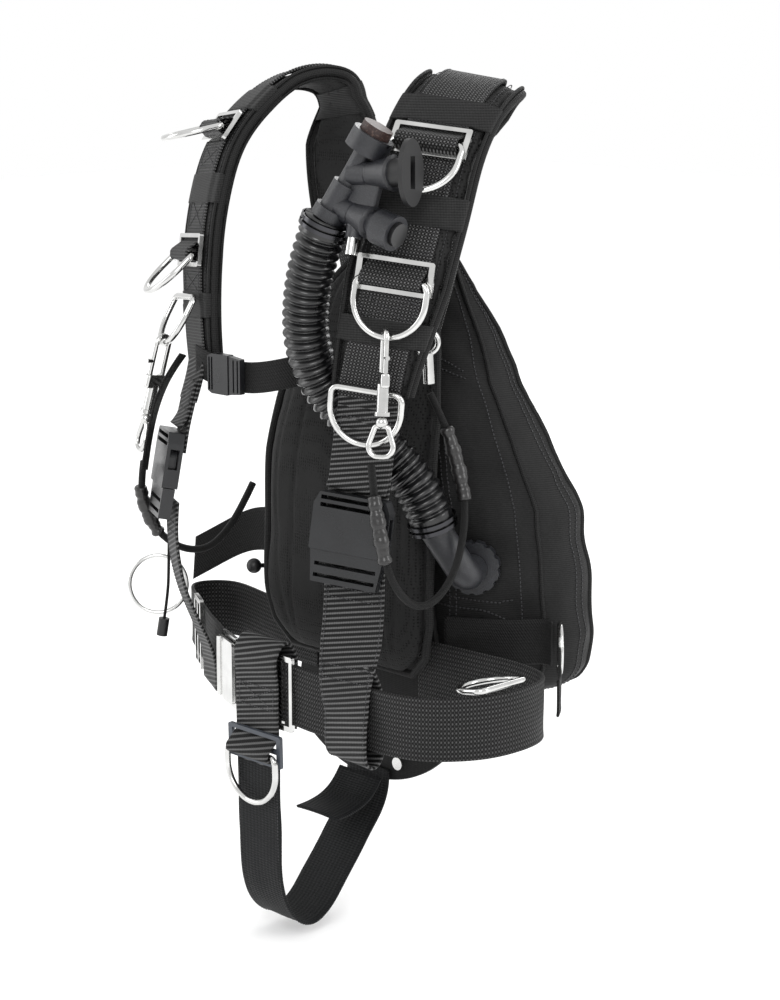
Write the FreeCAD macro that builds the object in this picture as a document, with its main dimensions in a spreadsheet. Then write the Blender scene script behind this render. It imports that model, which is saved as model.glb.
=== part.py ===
# Sidemount buoyancy compensator vest: padded harness, rear wing, inflator and stainless hardware.
# Frame: +Z up, +X towards the wearer's left, -Y towards the chest, millimetres.
# Origin: midway between the undersides of the shoulder straps, where the vest hangs on the shoulders.
import FreeCAD, Part
import math
import os

import Sketcher

Vector = FreeCAD.Vector
doc = FreeCAD.newDocument("BuoyancyVest")


# ---------------------------------------------------------------- driving dimensions
SIZES = {
    "webbing_width": 50.0,
    "webbing_thick": 2.4,
    "belt_thick": 2.8,
    "pad_width": 80.0,
    "pad_thick": 12.0,
    "slide_width": 62.0,
    "slide_height": 27.0,
    "slide_window": 53.0,
    "slide_bar": 3.4,
    "slide_thick": 3.2,
    "ring_half": 28.5,
    "ring_arm": 14.0,
    "ring_corner": 6.0,
    "ring_wire": 5.0,
    "buckle_width": 62.0,
    "female_height": 45.0,
    "female_thick": 13.0,
    "male_height": 25.0,
    "male_thick": 10.0,
    "cavity_thick": 7.4,
    "prong_thick": 6.2,
    "chest_scale": 0.52,
    "hose_diameter": 37.0,
    "barrel_diameter": 21.0,
    "neck_diameter": 15.0,
    "cap_diameter": 33.0,
    "mouth_tube": 22.0,
    "power_housing": 27.0,
    "power_button": 18.0,
    "deflate_button": 24.0,
    "nipple_diameter": 9.5,
    "nipple_collar": 12.5,
    "flange_diameter": 44.0,
    "elbow_diameter": 25.0,
    "bungee_diameter": 6.0,
    "sleeve_diameter": 13.0,
    "plate_thick": 5.0,
    "plate_hole": 6.0,
    "screw_shaft": 5.7,
    "screw_diameter": 11.0,
    "snap_shank": 9.0,
    "flange_height": 9.0,
    "flange_notch_diameter": 6.0,
    "collar_diameter": 27.0,
    "mouth_arm": 18.0,
    "mouth_neck": 12.0,
    "lip_thick": 4.0,
    "deflate_bore": 24.6,
    "power_bore": 18.6,
    "vent_hole": 3.4,
    "lever_thick": 2.6,
    "lever_knuckle": 4.6,
    "lever_length": 50.0,
    "pull_cord_diameter": 2.6,
    "pull_knob": 9.0,
    "dump_diameter": 38.0,
    "dump_stem": 4.0,
    "dump_knob": 13.0,
    "big_ring": 50.0,
    "big_ring_wire": 3.6,
}

sheet = doc.addObject("Spreadsheet::Sheet", "Sizes")
for row, (alias, value) in enumerate(SIZES.items(), start=1):
    sheet.set(f"A{row}", alias)
    sheet.set(f"B{row}", str(value))
    sheet.setAlias(f"B{row}", alias)
doc.recompute()


def size(alias):
    """Value of one driving dimension, read back from the sheet."""
    return float(sheet.get(alias))


WEB = size("webbing_width")
WEB_THICK = size("webbing_thick")
BELT_THICK = size("belt_thick")
GAP = 0.4          # clearance that keeps neighbouring pieces apart
nodes = {}         # node name -> document object


# ---------------------------------------------------------------- frames and courses
def frame(base, across, out):
    """Placement whose X runs across a strap and whose Z points away from the wearer."""
    z = Vector(*out).normalize()
    y = z.cross(Vector(*across)).normalize()
    x = y.cross(z)
    matrix = FreeCAD.Matrix(x.x, y.x, z.x, base[0], x.y, y.y, z.y, base[1],
                            x.z, y.z, z.z, base[2], 0, 0, 0, 1)
    return FreeCAD.Placement(matrix)


def mirrored(place):
    """The same placement on the wearer's other side, for a piece that is symmetric in its own X."""
    x = place.Rotation.multVec(Vector(1, 0, 0))
    z = place.Rotation.multVec(Vector(0, 0, 1))
    return frame((-place.Base.x, place.Base.y, place.Base.z), (x.x, -x.y, -x.z), (-z.x, z.y, z.z))


def moved(place, x=0.0, y=0.0, z=0.0, tilt=0.0, turn=0.0):
    """Placement shifted in its own axes, then tilted about its X and turned about its Y, degrees."""
    spin = FreeCAD.Rotation(Vector(0, 1, 0), turn) * FreeCAD.Rotation(Vector(1, 0, 0), tilt)
    return place * FreeCAD.Placement(Vector(x, y, z), spin)


class Course:
    """Middle line of a strap's inner face, with the way its width runs at each point."""

    def __init__(self, points, sides):
        self.knots = [0.0]
        for first, second in zip(points, points[1:]):
            self.knots.append(self.knots[-1] + Vector(*first).distanceToPoint(Vector(*second)))
        self.sides = [Vector(*side) for side in sides]
        self.curve = Part.BSplineCurve()
        self.curve.interpolate(Points=[Vector(*point) for point in points], Parameters=self.knots)
        self.length = self.knots[-1]

    def side(self, along):
        """Width direction, shared out between the listed points."""
        for index in range(len(self.knots) - 1):
            if along <= self.knots[index + 1] or index == len(self.knots) - 2:
                share = (along - self.knots[index]) / (self.knots[index + 1] - self.knots[index])
                return self.sides[index] * (1 - share) + self.sides[index + 1] * share
        return self.sides[-1]

    def station(self, along):
        """Placement on the line: X across, Y back up the strap, Z out from the wearer."""
        tangent = self.curve.tangent(along)[0]
        out = tangent.cross(self.side(along))
        point = self.curve.value(along)
        return frame((point.x, point.y, point.z), tuple(self.side(along)), tuple(out))

    def at_height(self, height, low=0.0):
        """Distance along the line, after low, where it first comes down to a height."""
        steps = 400
        for index in range(1, steps + 1):
            along = low + (self.length - low) * index / steps
            before = low + (self.length - low) * (index - 1) / steps
            if self.curve.value(before).z > height >= self.curve.value(along).z:
                return along
        raise ValueError(f"no station at height {height}")


def section(place, width, bottom, top, corner=0.0):
    """Closed outline across a strap: a rectangle, or one with cut corners."""
    half = width / 2
    if corner:
        outline = [(-half + corner, bottom), (half - corner, bottom), (half, bottom + corner),
                   (half, top - corner), (half - corner, top), (-half + corner, top),
                   (-half, top - corner), (-half, bottom + corner)]
    else:
        outline = [(-half, bottom), (half, bottom), (half, top), (-half, top)]
    points = [place.multVec(Vector(x, 0, z)) for x, z in outline]
    return Part.makePolygon(points + points[:1])


def ribbon(course, start, end, count, width, bottom, top, corner=0.0):
    """Solid strap between two distances along a course; width may be a function of the share run."""
    wires = []
    for index in range(count + 1):
        share = index / count
        breadth = width(share) if callable(width) else width
        place = course.station(start + (end - start) * share)
        wires.append(section(place, breadth, bottom, top, corner))
    return Part.makeLoft(wires, True, True)


def rounded_path(points, radii_share=0.45):
    """Straight runs joined by the largest tangent arcs that the runs allow; returns wire and radii."""
    points = [Vector(*point) for point in points]
    edges = []
    radii = []
    cursor = points[0]
    for before, corner, after in zip(points, points[1:], points[2:]):
        into = (corner - before).normalize()
        away = (after - corner).normalize()
        turn = into.getAngle(away)
        shorter = min((corner - before).Length, (after - corner).Length)
        cut = radii_share * shorter
        radii.append(cut / math.tan(turn / 2))
        start = corner - into * cut
        end = corner + away * cut
        centre_way = (away - into).normalize()
        middle = corner + centre_way * (radii[-1] / math.cos(turn / 2) - radii[-1])
        edges.append(Part.makeLine(cursor, start))
        edges.append(Part.Arc(start, middle, end).toShape())
        cursor = end
    edges.append(Part.makeLine(cursor, points[-1]))
    return Part.Wire(edges), radii


def tube(points, diameter, label):
    """Solid round cord or hose along a route, its volume compared with section times length."""
    path, radii = rounded_path(points)
    first = path.Edges[0]
    start = first.valueAt(first.FirstParameter)
    ring = Part.Wire(Part.makeCircle(diameter / 2, start, first.tangentAt(first.FirstParameter)))
    solid = path.makePipeShell([ring], True, False)
    expected = math.pi * diameter ** 2 / 4 * path.Length
    print(f"{label}: length {path.Length:.1f}, radii {[round(r) for r in radii]}, "
          f"volume share {solid.Volume / expected:.3f}")
    return solid


# ---------------------------------------------------------------- making document objects
def keep(label, item):
    """Register a finished object under its node name."""
    item.Label = label
    nodes[label] = item
    return item


def feature(label, *solids):
    """A sub-part whose shape is made with Part's own functions."""
    item = doc.addObject("Part::Feature", label)
    item.Shape = solids[0] if len(solids) == 1 else Part.makeCompound(list(solids))
    return keep(label, item)


def mirror_solid(solid):
    """A solid reflected to the wearer's right side."""
    return solid.mirror(Vector(0, 0, 0), Vector(1, 0, 0))


def rod(name, start, end, cell):
    """Part::Cylinder from one point to another, its radius bound to a diameter cell."""
    item = doc.addObject("Part::Cylinder", name)
    start = Vector(*start)
    reach = Vector(*end) - start
    item.setExpression("Radius", f"Sizes.{cell} / 2")
    item.Height = reach.Length
    item.Placement = FreeCAD.Placement(start, FreeCAD.Rotation(Vector(0, 0, 1), reach))
    return item


def fuse(label, *items):
    """Part::MultiFuse of primitives."""
    item = doc.addObject("Part::MultiFuse", label)
    item.Shapes = list(items)
    return keep(label, item)


def plane_of(body, role):
    """One of a body's own origin planes."""
    return [item for item in body.Origin.OriginFeatures if item.Role == role][0]


def sketch_on(body, name, role="XY_Plane"):
    """Empty sketch attached to an origin plane of its body."""
    item = body.newObject("Sketcher::SketchObject", name)
    item.AttachmentSupport = [(plane_of(body, role), "")]
    item.MapMode = "FlatFace"
    return item


def outline(sketch, corners):
    """Closed chain of straight lines in a sketch."""
    first = sketch.GeometryCount
    count = len(corners)
    points = [Vector(x, y, 0) for x, y in corners]
    for index in range(count):
        sketch.addGeometry(Part.LineSegment(points[index], points[(index + 1) % count]), False)
    for index in range(count):
        following = first + (index + 1) % count
        sketch.addConstraint(Sketcher.Constraint("Coincident", first + index, 2, following, 1))


def box(sketch, width, height, middle=0.0, centre=0.0):
    """Closed rectangle in a sketch, centred on (centre, middle)."""
    left = centre - width / 2
    right = centre + width / 2
    low = middle - height / 2
    high = middle + height / 2
    outline(sketch, [(left, low), (right, low), (right, high), (left, high)])


def circle(sketch, x, y, cell):
    """Circle in a sketch, its diameter bound to a cell."""
    index = sketch.addGeometry(Part.Circle(Vector(x, y, 0), Vector(0, 0, 1), size(cell) / 2), False)
    rule = sketch.addConstraint(Sketcher.Constraint("Diameter", index, size(cell)))
    sketch.setExpression(f"Constraints[{rule}]", f"Sizes.{cell}")


def pad_from(body, sketch, name, expression, both_ways=False):
    """Pad a sketch by a sheet expression."""
    pad = body.newObject("PartDesign::Pad", name)
    pad.Profile = sketch
    pad.Midplane = both_ways
    pad.setExpression("Length", expression)
    return pad


def pocket_from(body, sketch, name, expression):
    """Pocket cut to both sides of its sketch by a sheet expression."""
    pocket = body.newObject("PartDesign::Pocket", name)
    pocket.Profile = sketch
    pocket.Midplane = True
    pocket.setExpression("Length", expression)
    return pocket


def soften(body, base, radius, pick):
    """Fillet the edges of a feature that a test picks out."""
    doc.recompute()
    chosen = [f"Edge{number}" for number, edge in enumerate(base.Shape.Edges, start=1) if pick(edge)]
    fillet = body.newObject("PartDesign::Fillet", f"{base.Name}_soft")
    fillet.Base = (base, chosen)
    fillet.Radius = radius
    return fillet


def upright(edge):
    """True for an edge that runs through the thickness of a plate."""
    ends = [vertex.Point for vertex in edge.Vertexes]
    return len(ends) == 2 and abs(ends[0].x - ends[1].x) < 0.01 and abs(ends[0].y - ends[1].y) < 0.01


# ---------------------------------------------------------------- hardware
def wire_ring(label, place, half, arm, wire_cell):
    """D-ring: a straight bar on the placement's X axis, with its bow hanging towards -Y."""
    corner = size("ring_corner")
    body = doc.addObject("PartDesign::Body", label)
    path = sketch_on(body, f"{label}_path")
    quarter = math.pi / 2
    flat = half - corner
    path.addGeometry([
        Part.LineSegment(Vector(-flat, 0, 0), Vector(flat, 0, 0)),
        Part.ArcOfCircle(Part.Circle(Vector(flat, -corner, 0), Vector(0, 0, 1), corner), 0, quarter),
        Part.LineSegment(Vector(half, -corner, 0), Vector(half, -arm, 0)),
        Part.ArcOfCircle(Part.Circle(Vector(0, -arm, 0), Vector(0, 0, 1), half), math.pi, 2 * math.pi),
        Part.LineSegment(Vector(-half, -arm, 0), Vector(-half, -corner, 0)),
        Part.ArcOfCircle(Part.Circle(Vector(-flat, -corner, 0), Vector(0, 0, 1), corner), quarter, math.pi),
    ], False)
    profile = sketch_on(body, f"{label}_wire", "YZ_Plane")
    circle(profile, 0, 0, wire_cell)
    pipe = body.newObject("PartDesign::AdditivePipe", f"{label}_pipe")
    pipe.Profile = profile
    pipe.Spine = (path, [f"Edge{number}" for number in range(1, 7)])
    body.Placement = place
    return keep(label, body)


def slide_body(name, place, width_cell="slide_width", height_cell="slide_height"):
    """Flat three-bar slide: an outer frame, two windows and the middle bar between them."""
    width = size(width_cell)
    height = size(height_cell)
    bar = size("slide_bar")
    window = (height - 3 * bar) / 2
    body = doc.addObject("PartDesign::Body", name)
    sketch = sketch_on(body, f"{name}_outline")
    box(sketch, width, height)
    box(sketch, size("slide_window"), window, (window + bar) / 2)
    box(sketch, size("slide_window"), window, -(window + bar) / 2)
    pad = pad_from(body, sketch, f"{name}_pad", "Sizes.slide_thick")
    soften(body, pad, 2.0, lambda edge: upright(edge) and abs(edge.Vertexes[0].Point.x) > width / 2 - 0.1)
    body.Placement = place
    return body


BAR_DROP = 4.0      # how far below a slide's middle bar the ring's bar sits
BUMP_INNER = [(7.8, 0.7), (3.4, 4.9), (0.2, 8.6), (-1.8, 10.3), (-6.0, 10.3), (-7.2, 9.0), (-7.2, 0.7)]
BUMP_OUTER = [(-9.4, 0.7), (-9.4, 10.2), (-7.0, 12.4), (-1.2, 12.4), (0.8, 11.4), (4.8, 7.1), (9.6, 0.7)]


def bump(place, width):
    """Arch of webbing that rises over a slide's middle bar and a ring's bar."""
    corners = [place.multVec(Vector(-width / 2, y, z)) for y, z in BUMP_INNER + BUMP_OUTER]
    face = Part.Face(Part.makePolygon(corners + corners[:1]))
    return face.extrude(place.Rotation.multVec(Vector(width, 0, 0)))


def buckle_female(label, place, scale):
    """Side-release socket: flat shell, open at the foot and at both sides, with a strap bar on top."""
    factor = f" * {scale}"
    ratio = 1.0 if scale == "1" else size(scale.split(".")[1])
    width = size("buckle_width") * ratio
    height = size("female_height") * ratio
    body = doc.addObject("PartDesign::Body", label)
    shell = sketch_on(body, f"{label}_shell")
    half = width / 2
    outline(shell, [(-half, -height / 2), (half, -height / 2), (half, height * 0.3),
                    (half * 0.86, height / 2),
                    (-half * 0.86, height / 2), (-half, height * 0.3)])
    pad = pad_from(body, shell, f"{label}_pad", f"Sizes.female_thick{factor}", True)
    cavity = sketch_on(body, f"{label}_cavity")
    inner = half * 0.84
    deep = height * 0.20
    notch = height * 0.16
    outline(cavity, [(-inner, -height), (inner, -height), (inner, -notch), (half * 1.1, -notch),
                     (half * 1.1, deep), (-half * 1.1, deep), (-half * 1.1, -notch), (-inner, -notch)])
    hollow = pocket_from(body, cavity, f"{label}_hollow", f"Sizes.cavity_thick{factor}")
    slots = sketch_on(body, f"{label}_slots")
    box(slots, width * 0.82, height * 0.07, height * 0.41)
    box(slots, width * 0.82, height * 0.07, height * 0.28)
    pocket_from(body, slots, f"{label}_slot_cut", f"Sizes.female_thick{factor} * 2")
    soften(body, body.Tip, 1.6 * ratio,
           lambda edge: upright(edge) and edge.Length > size("female_thick") * ratio * 0.9
           and abs(edge.Vertexes[0].Point.x) > half * 0.83)
    body.Placement = place
    return keep(label, body)


def buckle_male(label, place, scale):
    """Side-release plug: strap block with two sprung prongs and a guide tongue that enter the socket."""
    factor = f" * {scale}"
    ratio = 1.0 if scale == "1" else size(scale.split(".")[1])
    width = size("buckle_width") * ratio * 0.96
    female = size("female_height") * ratio
    height = size("male_height") * ratio
    top = -female / 2 - GAP
    half = width / 2
    body = doc.addObject("PartDesign::Body", label)
    block = sketch_on(body, f"{label}_block")
    outline(block, [(-half, top), (-half * 0.9, top - height), (half * 0.9, top - height), (half, top)])
    pad_from(body, block, f"{label}_pad", f"Sizes.male_thick{factor}", True)
    prongs = sketch_on(body, f"{label}_prongs")
    reach = female * 0.18 - GAP
    arm_in = half * 0.60
    arm_out = half * 0.78
    barb = half * 0.875 - GAP
    for sign in (1, -1):
        outline(prongs, [(sign * arm_in, top - 1), (sign * arm_out, top - 1),
                         (sign * arm_out, -female * 0.14),
                         (sign * barb, -female * 0.14), (sign * barb, female * 0.05), (sign * arm_out, reach),
                         (sign * arm_in, reach)])
    outline(prongs, [(-half * 0.12, top - 1), (half * 0.12, top - 1), (half * 0.12, reach),
                     (-half * 0.12, reach)])
    pad_from(body, prongs, f"{label}_prong_pad", f"Sizes.prong_thick{factor}", True)
    slots = sketch_on(body, f"{label}_slots")
    box(slots, width * 0.84, height * 0.12, top - height * 0.42)
    box(slots, width * 0.84, height * 0.12, top - height * 0.78)
    pocket_from(body, slots, f"{label}_slot_cut", f"Sizes.male_thick{factor} * 2")
    body.Placement = place
    return keep(label, body)


# ---------------------------------------------------------------- shoulder straps
SHOULDER_POINTS = [(50, 4, -107), (51, 2, -80), (55, 6, -45), (64, 16, -12), (78, 16, 8), (93, 1, 14),
                   (104, -25, 8), (111, -52, -10), (118, -78, -40), (120, -94, -78), (117, -106, -118),
                   (111, -114, -158), (104, -119, -193), (98, -121, -223)]
BACK_SIDE = (0.97, -0.05, -0.1)
TOP_SIDE = (0.9, 0.38, -0.15)
FRONT_SIDE = (0.906, 0.423, -0.1)
SHOULDER_SIDES = [BACK_SIDE] * 3 + [TOP_SIDE] * 3 + [(0.9, 0.42, -0.15),
                                                     (0.91, 0.42, -0.12)] + [FRONT_SIDE] * 6
shoulder = Course(SHOULDER_POINTS, SHOULDER_SIDES)
UPPER_SLIDE_HEIGHT = -32.0
LOWER_SLIDE_HEIGHT = -128.0
front_start = shoulder.at_height(0.0, shoulder.length * 0.4)
upper_slide = moved(shoulder.station(shoulder.at_height(UPPER_SLIDE_HEIGHT, front_start)))
lower_slide = moved(shoulder.station(shoulder.at_height(LOWER_SLIDE_HEIGHT, front_start)))
web_bottom = GAP
web_top = web_bottom + WEB_THICK
slide_lift = web_top + 0.3


def pad_width_at(share):
    """Pad width along the strap: narrower where it joins the back and at its front end."""
    waist = size("pad_width")
    if share < 0.2:
        return waist * (0.8 + share)
    if share > 0.8:
        return waist * (1.0 - (share - 0.8) * 1.1)
    return waist


shoulder_pad = ribbon(shoulder, 0, shoulder.length - 6, 22, pad_width_at, -size("pad_thick"), 0, 3.0)
shoulder_web = ribbon(shoulder, 10, shoulder.length, 26, WEB, web_bottom, web_top)
upper_bump = bump(moved(upper_slide, z=web_top - 0.2), WEB - 2)
lower_bump = bump(moved(lower_slide, z=web_top - 0.2), WEB - 2)
ring_lift = web_top - 0.2 + 7.2

for hand, flip in (("left", False), ("right", True)):
    side_of = mirrored if flip else (lambda place: place)
    copy_of = mirror_solid if flip else (lambda solid: solid)
    feature(f"shoulder_pad_{hand}", copy_of(shoulder_pad))
    feature(f"shoulder_webbing_{hand}", copy_of(shoulder_web), copy_of(upper_bump), copy_of(lower_bump))
    pair = [slide_body(f"slide_upper_{hand}", side_of(moved(upper_slide, z=slide_lift))),
            slide_body(f"slide_lower_{hand}", side_of(moved(lower_slide, z=slide_lift)))]
    slides = doc.addObject("Part::Compound", f"strap_slides_{hand}")
    slides.Links = pair
    keep(f"strap_slides_{hand}", slides)
    for name, station, swing in (("upper", upper_slide, (0, 42)), ("lower", lower_slide, (0, 40))):
        lean = swing[1] if flip else swing[0]
        place = moved(station, y=-BAR_DROP, z=ring_lift, tilt=-lean)
        wire_ring(f"ring_{name}_{hand}", side_of(place), size("ring_half"), size("ring_arm"), "ring_wire")

# ---------------------------------------------------------------- drop straps and their buckles
LEFT_DROP = [(97, -119, -230), (94, -122, -262), (93, -130, -330), (99, -141, -410), (105, -153, -444),
             (107, -154, -468), (107, -154, -492)]
RIGHT_DROP = [(-98, -126, -232), (-95, -138, -258), (-93, -150, -300), (-92, -157, -345), (-92, -148, -400),
              (-94, -128, -440), (-95, -117, -470), (-95, -116, -490)]
left_drop = Course(LEFT_DROP, [FRONT_SIDE] * 4 + [(0.98, 0.1, 0.0)] + [(1.0, -0.08, 0.0)] * 2)
right_drop = Course(RIGHT_DROP, [(0.85, -0.52, 0.08)] * 5 + [(0.88, -0.47, 0.0)] * 3)
FEMALE_LIFT = 10.0
BUCKLE_HEIGHTS = {"left": -319.0, "right": -292.0}
for hand, course in (("left", left_drop), ("right", right_drop)):
    middle = course.at_height(BUCKLE_HEIGHTS[hand])
    place = moved(course.station(middle), z=FEMALE_LIFT)
    female_top = middle - size("female_height") / 2
    male_foot = middle + size("female_height") / 2 + size("male_height")
    upper = ribbon(course, 0, female_top + 16, 8, WEB, 0, WEB_THICK)
    lower = ribbon(course, male_foot - 14, course.length, 14, WEB, 0, WEB_THICK)
    feature(f"drop_strap_{hand}", upper, lower)
    buckle_female(f"buckle_female_{hand}", place, "1")
    buckle_male(f"buckle_male_{hand}", place, "1")

# Rings near the lower ends of the shoulder pads: the left one carries the drop strap, the right one the snap.
pad_ring_left = moved(shoulder.station(shoulder.length - 2), y=6.0, z=web_top + 3.4)
RIGHT_PAD_RING_HEIGHT = -165.0
RIGHT_PAD_RING_LEAN = 25.0
pad_ring_station = shoulder.station(shoulder.at_height(RIGHT_PAD_RING_HEIGHT, front_start))
pad_ring_right = mirrored(moved(pad_ring_station, z=web_top + 5.5, tilt=-RIGHT_PAD_RING_LEAN))
wire_ring("pad_ring_left", pad_ring_left, size("ring_half"), size("ring_arm"), "ring_wire")
wire_ring("pad_ring_right", pad_ring_right, size("ring_half"), size("ring_arm"), "ring_wire")

# ---------------------------------------------------------------- back pad and lumbar plate
# Each row: front face Y, height, half width, thickness.
BACK_PAD_ROWS = [(30, -100, 25, 10), (9, -125, 40, 14), (-12, -155, 62, 20), (-30, -195, 78, 24),
                 (-46, -250, 92, 26), (-56, -300, 97, 26), (-58, -360, 97, 26), (-59, -420, 97, 26),
                 (-53, -450, 90, 21), (-45, -470, 70, 13)]
PAD_CENTRE = -5.0
pad_course = Course([(PAD_CENTRE, y, z) for y, z, half, thick in BACK_PAD_ROWS],
                    [(1, 0, 0)] * len(BACK_PAD_ROWS))
pad_wires = []
for knot, (front, height, half, thick) in zip(pad_course.knots, BACK_PAD_ROWS):
    place = pad_course.station(knot)
    pad_wires.append(section(place, 2 * half, -thick, 0, thick * 0.3))
feature("back_pad", Part.makeLoft(pad_wires, True, True))


PLATE_FRONT = -24.0
SCREW_REACH = 35.0
SCREW_HEIGHT = -552.0


def lumbar_plate():
    """Rigid plate behind the lower back, with a round bottom edge and holes for two screws and slots."""
    body = doc.addObject("PartDesign::Body", "lumbar_plate")
    edge = sketch_on(body, "plate_edge", "XZ_Plane")
    top = -405.0
    foot = -530.0
    half_top = 70.0
    half_foot = 92.0
    lowest = Vector(0, -572, 0)
    corner_left = Vector(-half_foot, foot, 0)
    corner_right = Vector(half_foot, foot, 0)
    edge.addGeometry([
        Part.LineSegment(Vector(-half_top, top, 0), Vector(half_top, top, 0)),
        Part.LineSegment(Vector(half_top, top, 0), corner_right),
        Part.Arc(corner_right, lowest, corner_left),
        Part.LineSegment(corner_left, Vector(-half_top, top, 0)),
    ], False)
    for sign in (1, -1):
        circle(edge, sign * SCREW_REACH, SCREW_HEIGHT, "plate_hole")
    box(edge, 54, 6, -545)
    pad = pad_from(body, edge, "plate_pad", "Sizes.plate_thick")
    pad.Reversed = True
    soften(body, pad, 1.2, lambda line: line.Length > 60)
    body.Placement = FreeCAD.Placement(Vector(0, PLATE_FRONT, 0), FreeCAD.Rotation())
    return keep("lumbar_plate", body)


lumbar_plate()
screws = []
for sign in (1, -1):
    head_back = (sign * SCREW_REACH, PLATE_FRONT - GAP / 4, SCREW_HEIGHT)
    head_front = (sign * SCREW_REACH, PLATE_FRONT - 3.0, SCREW_HEIGHT)
    shaft_end = (sign * SCREW_REACH, PLATE_FRONT + size("plate_thick") + 1.5, SCREW_HEIGHT)
    screws += [rod(f"screw_head_{len(screws)}", head_front, head_back, "screw_diameter"),
               rod(f"screw_shaft_{len(screws)}", head_back, shaft_end, "screw_shaft")]
fuse("plate_screws", *screws)

# ---------------------------------------------------------------- wing
# Each row: height, half width, front face Y at the middle.
WING_ROWS = [(-112, 22, 44), (-126, 40, 31), (-150, 60, 17), (-190, 90, 4), (-225, 111, -6), (-280, 143, -14),
             (-325, 164, -16), (-385, 171, -16), (-430, 174, -16), (-460, 172, -15), (-478, 158,
                                                                                      -14), (-490, 122,
                                                                                             -12), (-496,
                                                                                                    64, -6)]
# Half outline, as shares of the half width, with Y counted from the front face.
WING_OUTLINE = [(0.0, 0.0), (0.49, 0.0), (0.87, 0.24), (0.97, 0.35), (1.0, 0.46), (0.96, 0.56), (0.84, 0.59),
                (0.5, 0.42), (0.2, 0.33)]


def wing_point(half, front, share):
    """One outline point of a level slice through the wing."""
    return share[0] * half, front + share[1] * half


wing_wires = []
for height, half, front in WING_ROWS:
    left_points = [wing_point(half, front, share) for share in WING_OUTLINE]
    right_points = [(-x, y) for x, y in reversed(left_points[1:])]
    corners = [Vector(x, y, height) for x, y in left_points + right_points]
    wing_wires.append(Part.makePolygon(corners + corners[:1]))
feature("wing_shell", Part.makeLoft(wing_wires, True, True))

# ---------------------------------------------------------------- inflator hose, elbow and flange
FLANGE_CENTRE = Vector(103, -7, -373)
PANEL_NORMAL = Vector(0.54, -0.84, 0).normalize()
ELBOW_POINTS = [tuple(FLANGE_CENTRE + PANEL_NORMAL * 11), tuple(FLANGE_CENTRE + PANEL_NORMAL * 36),
                (110.5, -61, -332)]
HOSE_POINTS = [(71, -137.5, -86.5), (60, -141, -113), (49, -140, -150), (44, -135, -186), (48, -121, -220),
               (68, -99, -252), (92, -81, -280), (107, -69, -306), (110.5, -61, -332)]


def wing_flange():
    """Threaded collar that seats the elbow on the wing: a disc with finger notches and a raised neck."""
    body = doc.addObject("PartDesign::Body", "wing_flange")
    rim = sketch_on(body, "flange_rim")
    circle(rim, 0, 0, "flange_diameter")
    pad_from(body, rim, "flange_pad", "Sizes.flange_height")
    notch = sketch_on(body, "flange_notch")
    circle(notch, size("flange_diameter") / 2 + 1.5, 0, "flange_notch_diameter")
    cut = pocket_from(body, notch, "flange_notch_cut", "Sizes.flange_height * 3")
    doc.recompute()
    pattern = body.newObject("PartDesign::PolarPattern", "flange_notches")
    pattern.Originals = [cut]
    pattern.Axis = (notch, ["N_Axis"])
    pattern.Angle = 360
    pattern.Occurrences = 12
    body.Tip = pattern
    doc.recompute()
    body.Placement = frame(tuple(FLANGE_CENTRE), (0, 0, 1), tuple(PANEL_NORMAL))
    return keep("wing_flange", body)


wing_flange()
feature("hose_elbow", tube(ELBOW_POINTS, size("elbow_diameter"), "hose_elbow"))
feature("corrugated_hose", tube(HOSE_POINTS, size("hose_diameter"), "corrugated_hose"))


def band(start, towards, offset, height, inner, wall):
    """Metal band round a pipe, a set distance along it."""
    way = (Vector(*towards) - Vector(*start)).normalize()
    base = Vector(*start) + way * offset
    outer = Part.makeCylinder(inner + wall, height, base, way)
    return outer.cut(Part.makeCylinder(inner, height, base, way))


clamp_inner = size("hose_diameter") / 2 + 0.2
feature("hose_clamps", band(HOSE_POINTS[0], HOSE_POINTS[1], 1.0, 3.0, clamp_inner, 1.2),
        band(HOSE_POINTS[0], HOSE_POINTS[1], 6.0, 3.0, clamp_inner, 1.2),
        band(HOSE_POINTS[-1], HOSE_POINTS[-2], 1.0, 3.0, clamp_inner, 1.2),
        band(HOSE_POINTS[-1], HOSE_POINTS[-2], 6.0, 3.0, clamp_inner, 1.2))

# ---------------------------------------------------------------- power inflator
BARREL_TOP = Vector(106, -117.5, -17)
BARREL_FOOT = Vector(*HOSE_POINTS[0])
barrel_way = (BARREL_FOOT - BARREL_TOP).normalize()
MOUTH = Vector(138, -118.5, -49.5)
mouth_root = BARREL_TOP + (BARREL_FOOT - BARREL_TOP) * 0.52
mouth_way = (MOUTH - mouth_root).normalize()
POWER = Vector(134, -128, -94)
power_root = BARREL_TOP + (BARREL_FOOT - BARREL_TOP) * 0.86
power_way = (POWER - power_root).normalize()
NIPPLE_WAY = Vector(0.1, -0.3, -0.95).normalize()
nipple_root = power_root + (POWER - power_root) * 0.36
DEFLATE_TRAVEL = 4.0
POWER_TRAVEL = 3.0
cap_top = BARREL_TOP + barrel_way * 7.0
cap_foot = cap_top + barrel_way * 15.0
neck_foot = BARREL_TOP + (BARREL_FOOT - BARREL_TOP) * 0.62
casing = [
    rod("inflator_cap", cap_top, cap_foot, "cap_diameter"),
    rod("inflator_neck", cap_foot, neck_foot, "neck_diameter"),
    rod("inflator_barrel", neck_foot, BARREL_FOOT, "barrel_diameter"),
    rod("inflator_collar", BARREL_FOOT - barrel_way * 9, BARREL_FOOT, "collar_diameter"),
    rod("inflator_mouth_arm", mouth_root, MOUTH - mouth_way * 12, "mouth_arm"),
    rod("inflator_mouth_cup", MOUTH - mouth_way * 22, MOUTH - mouth_way * 12, "mouth_tube"),
    rod("inflator_power_arm", power_root, POWER, "mouth_arm"),
    rod("inflator_power_housing", POWER - power_way * 17, POWER, "power_housing"),
    rod("inflator_nipple_boss", nipple_root, nipple_root + NIPPLE_WAY * 17, "nipple_collar"),
]
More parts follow.
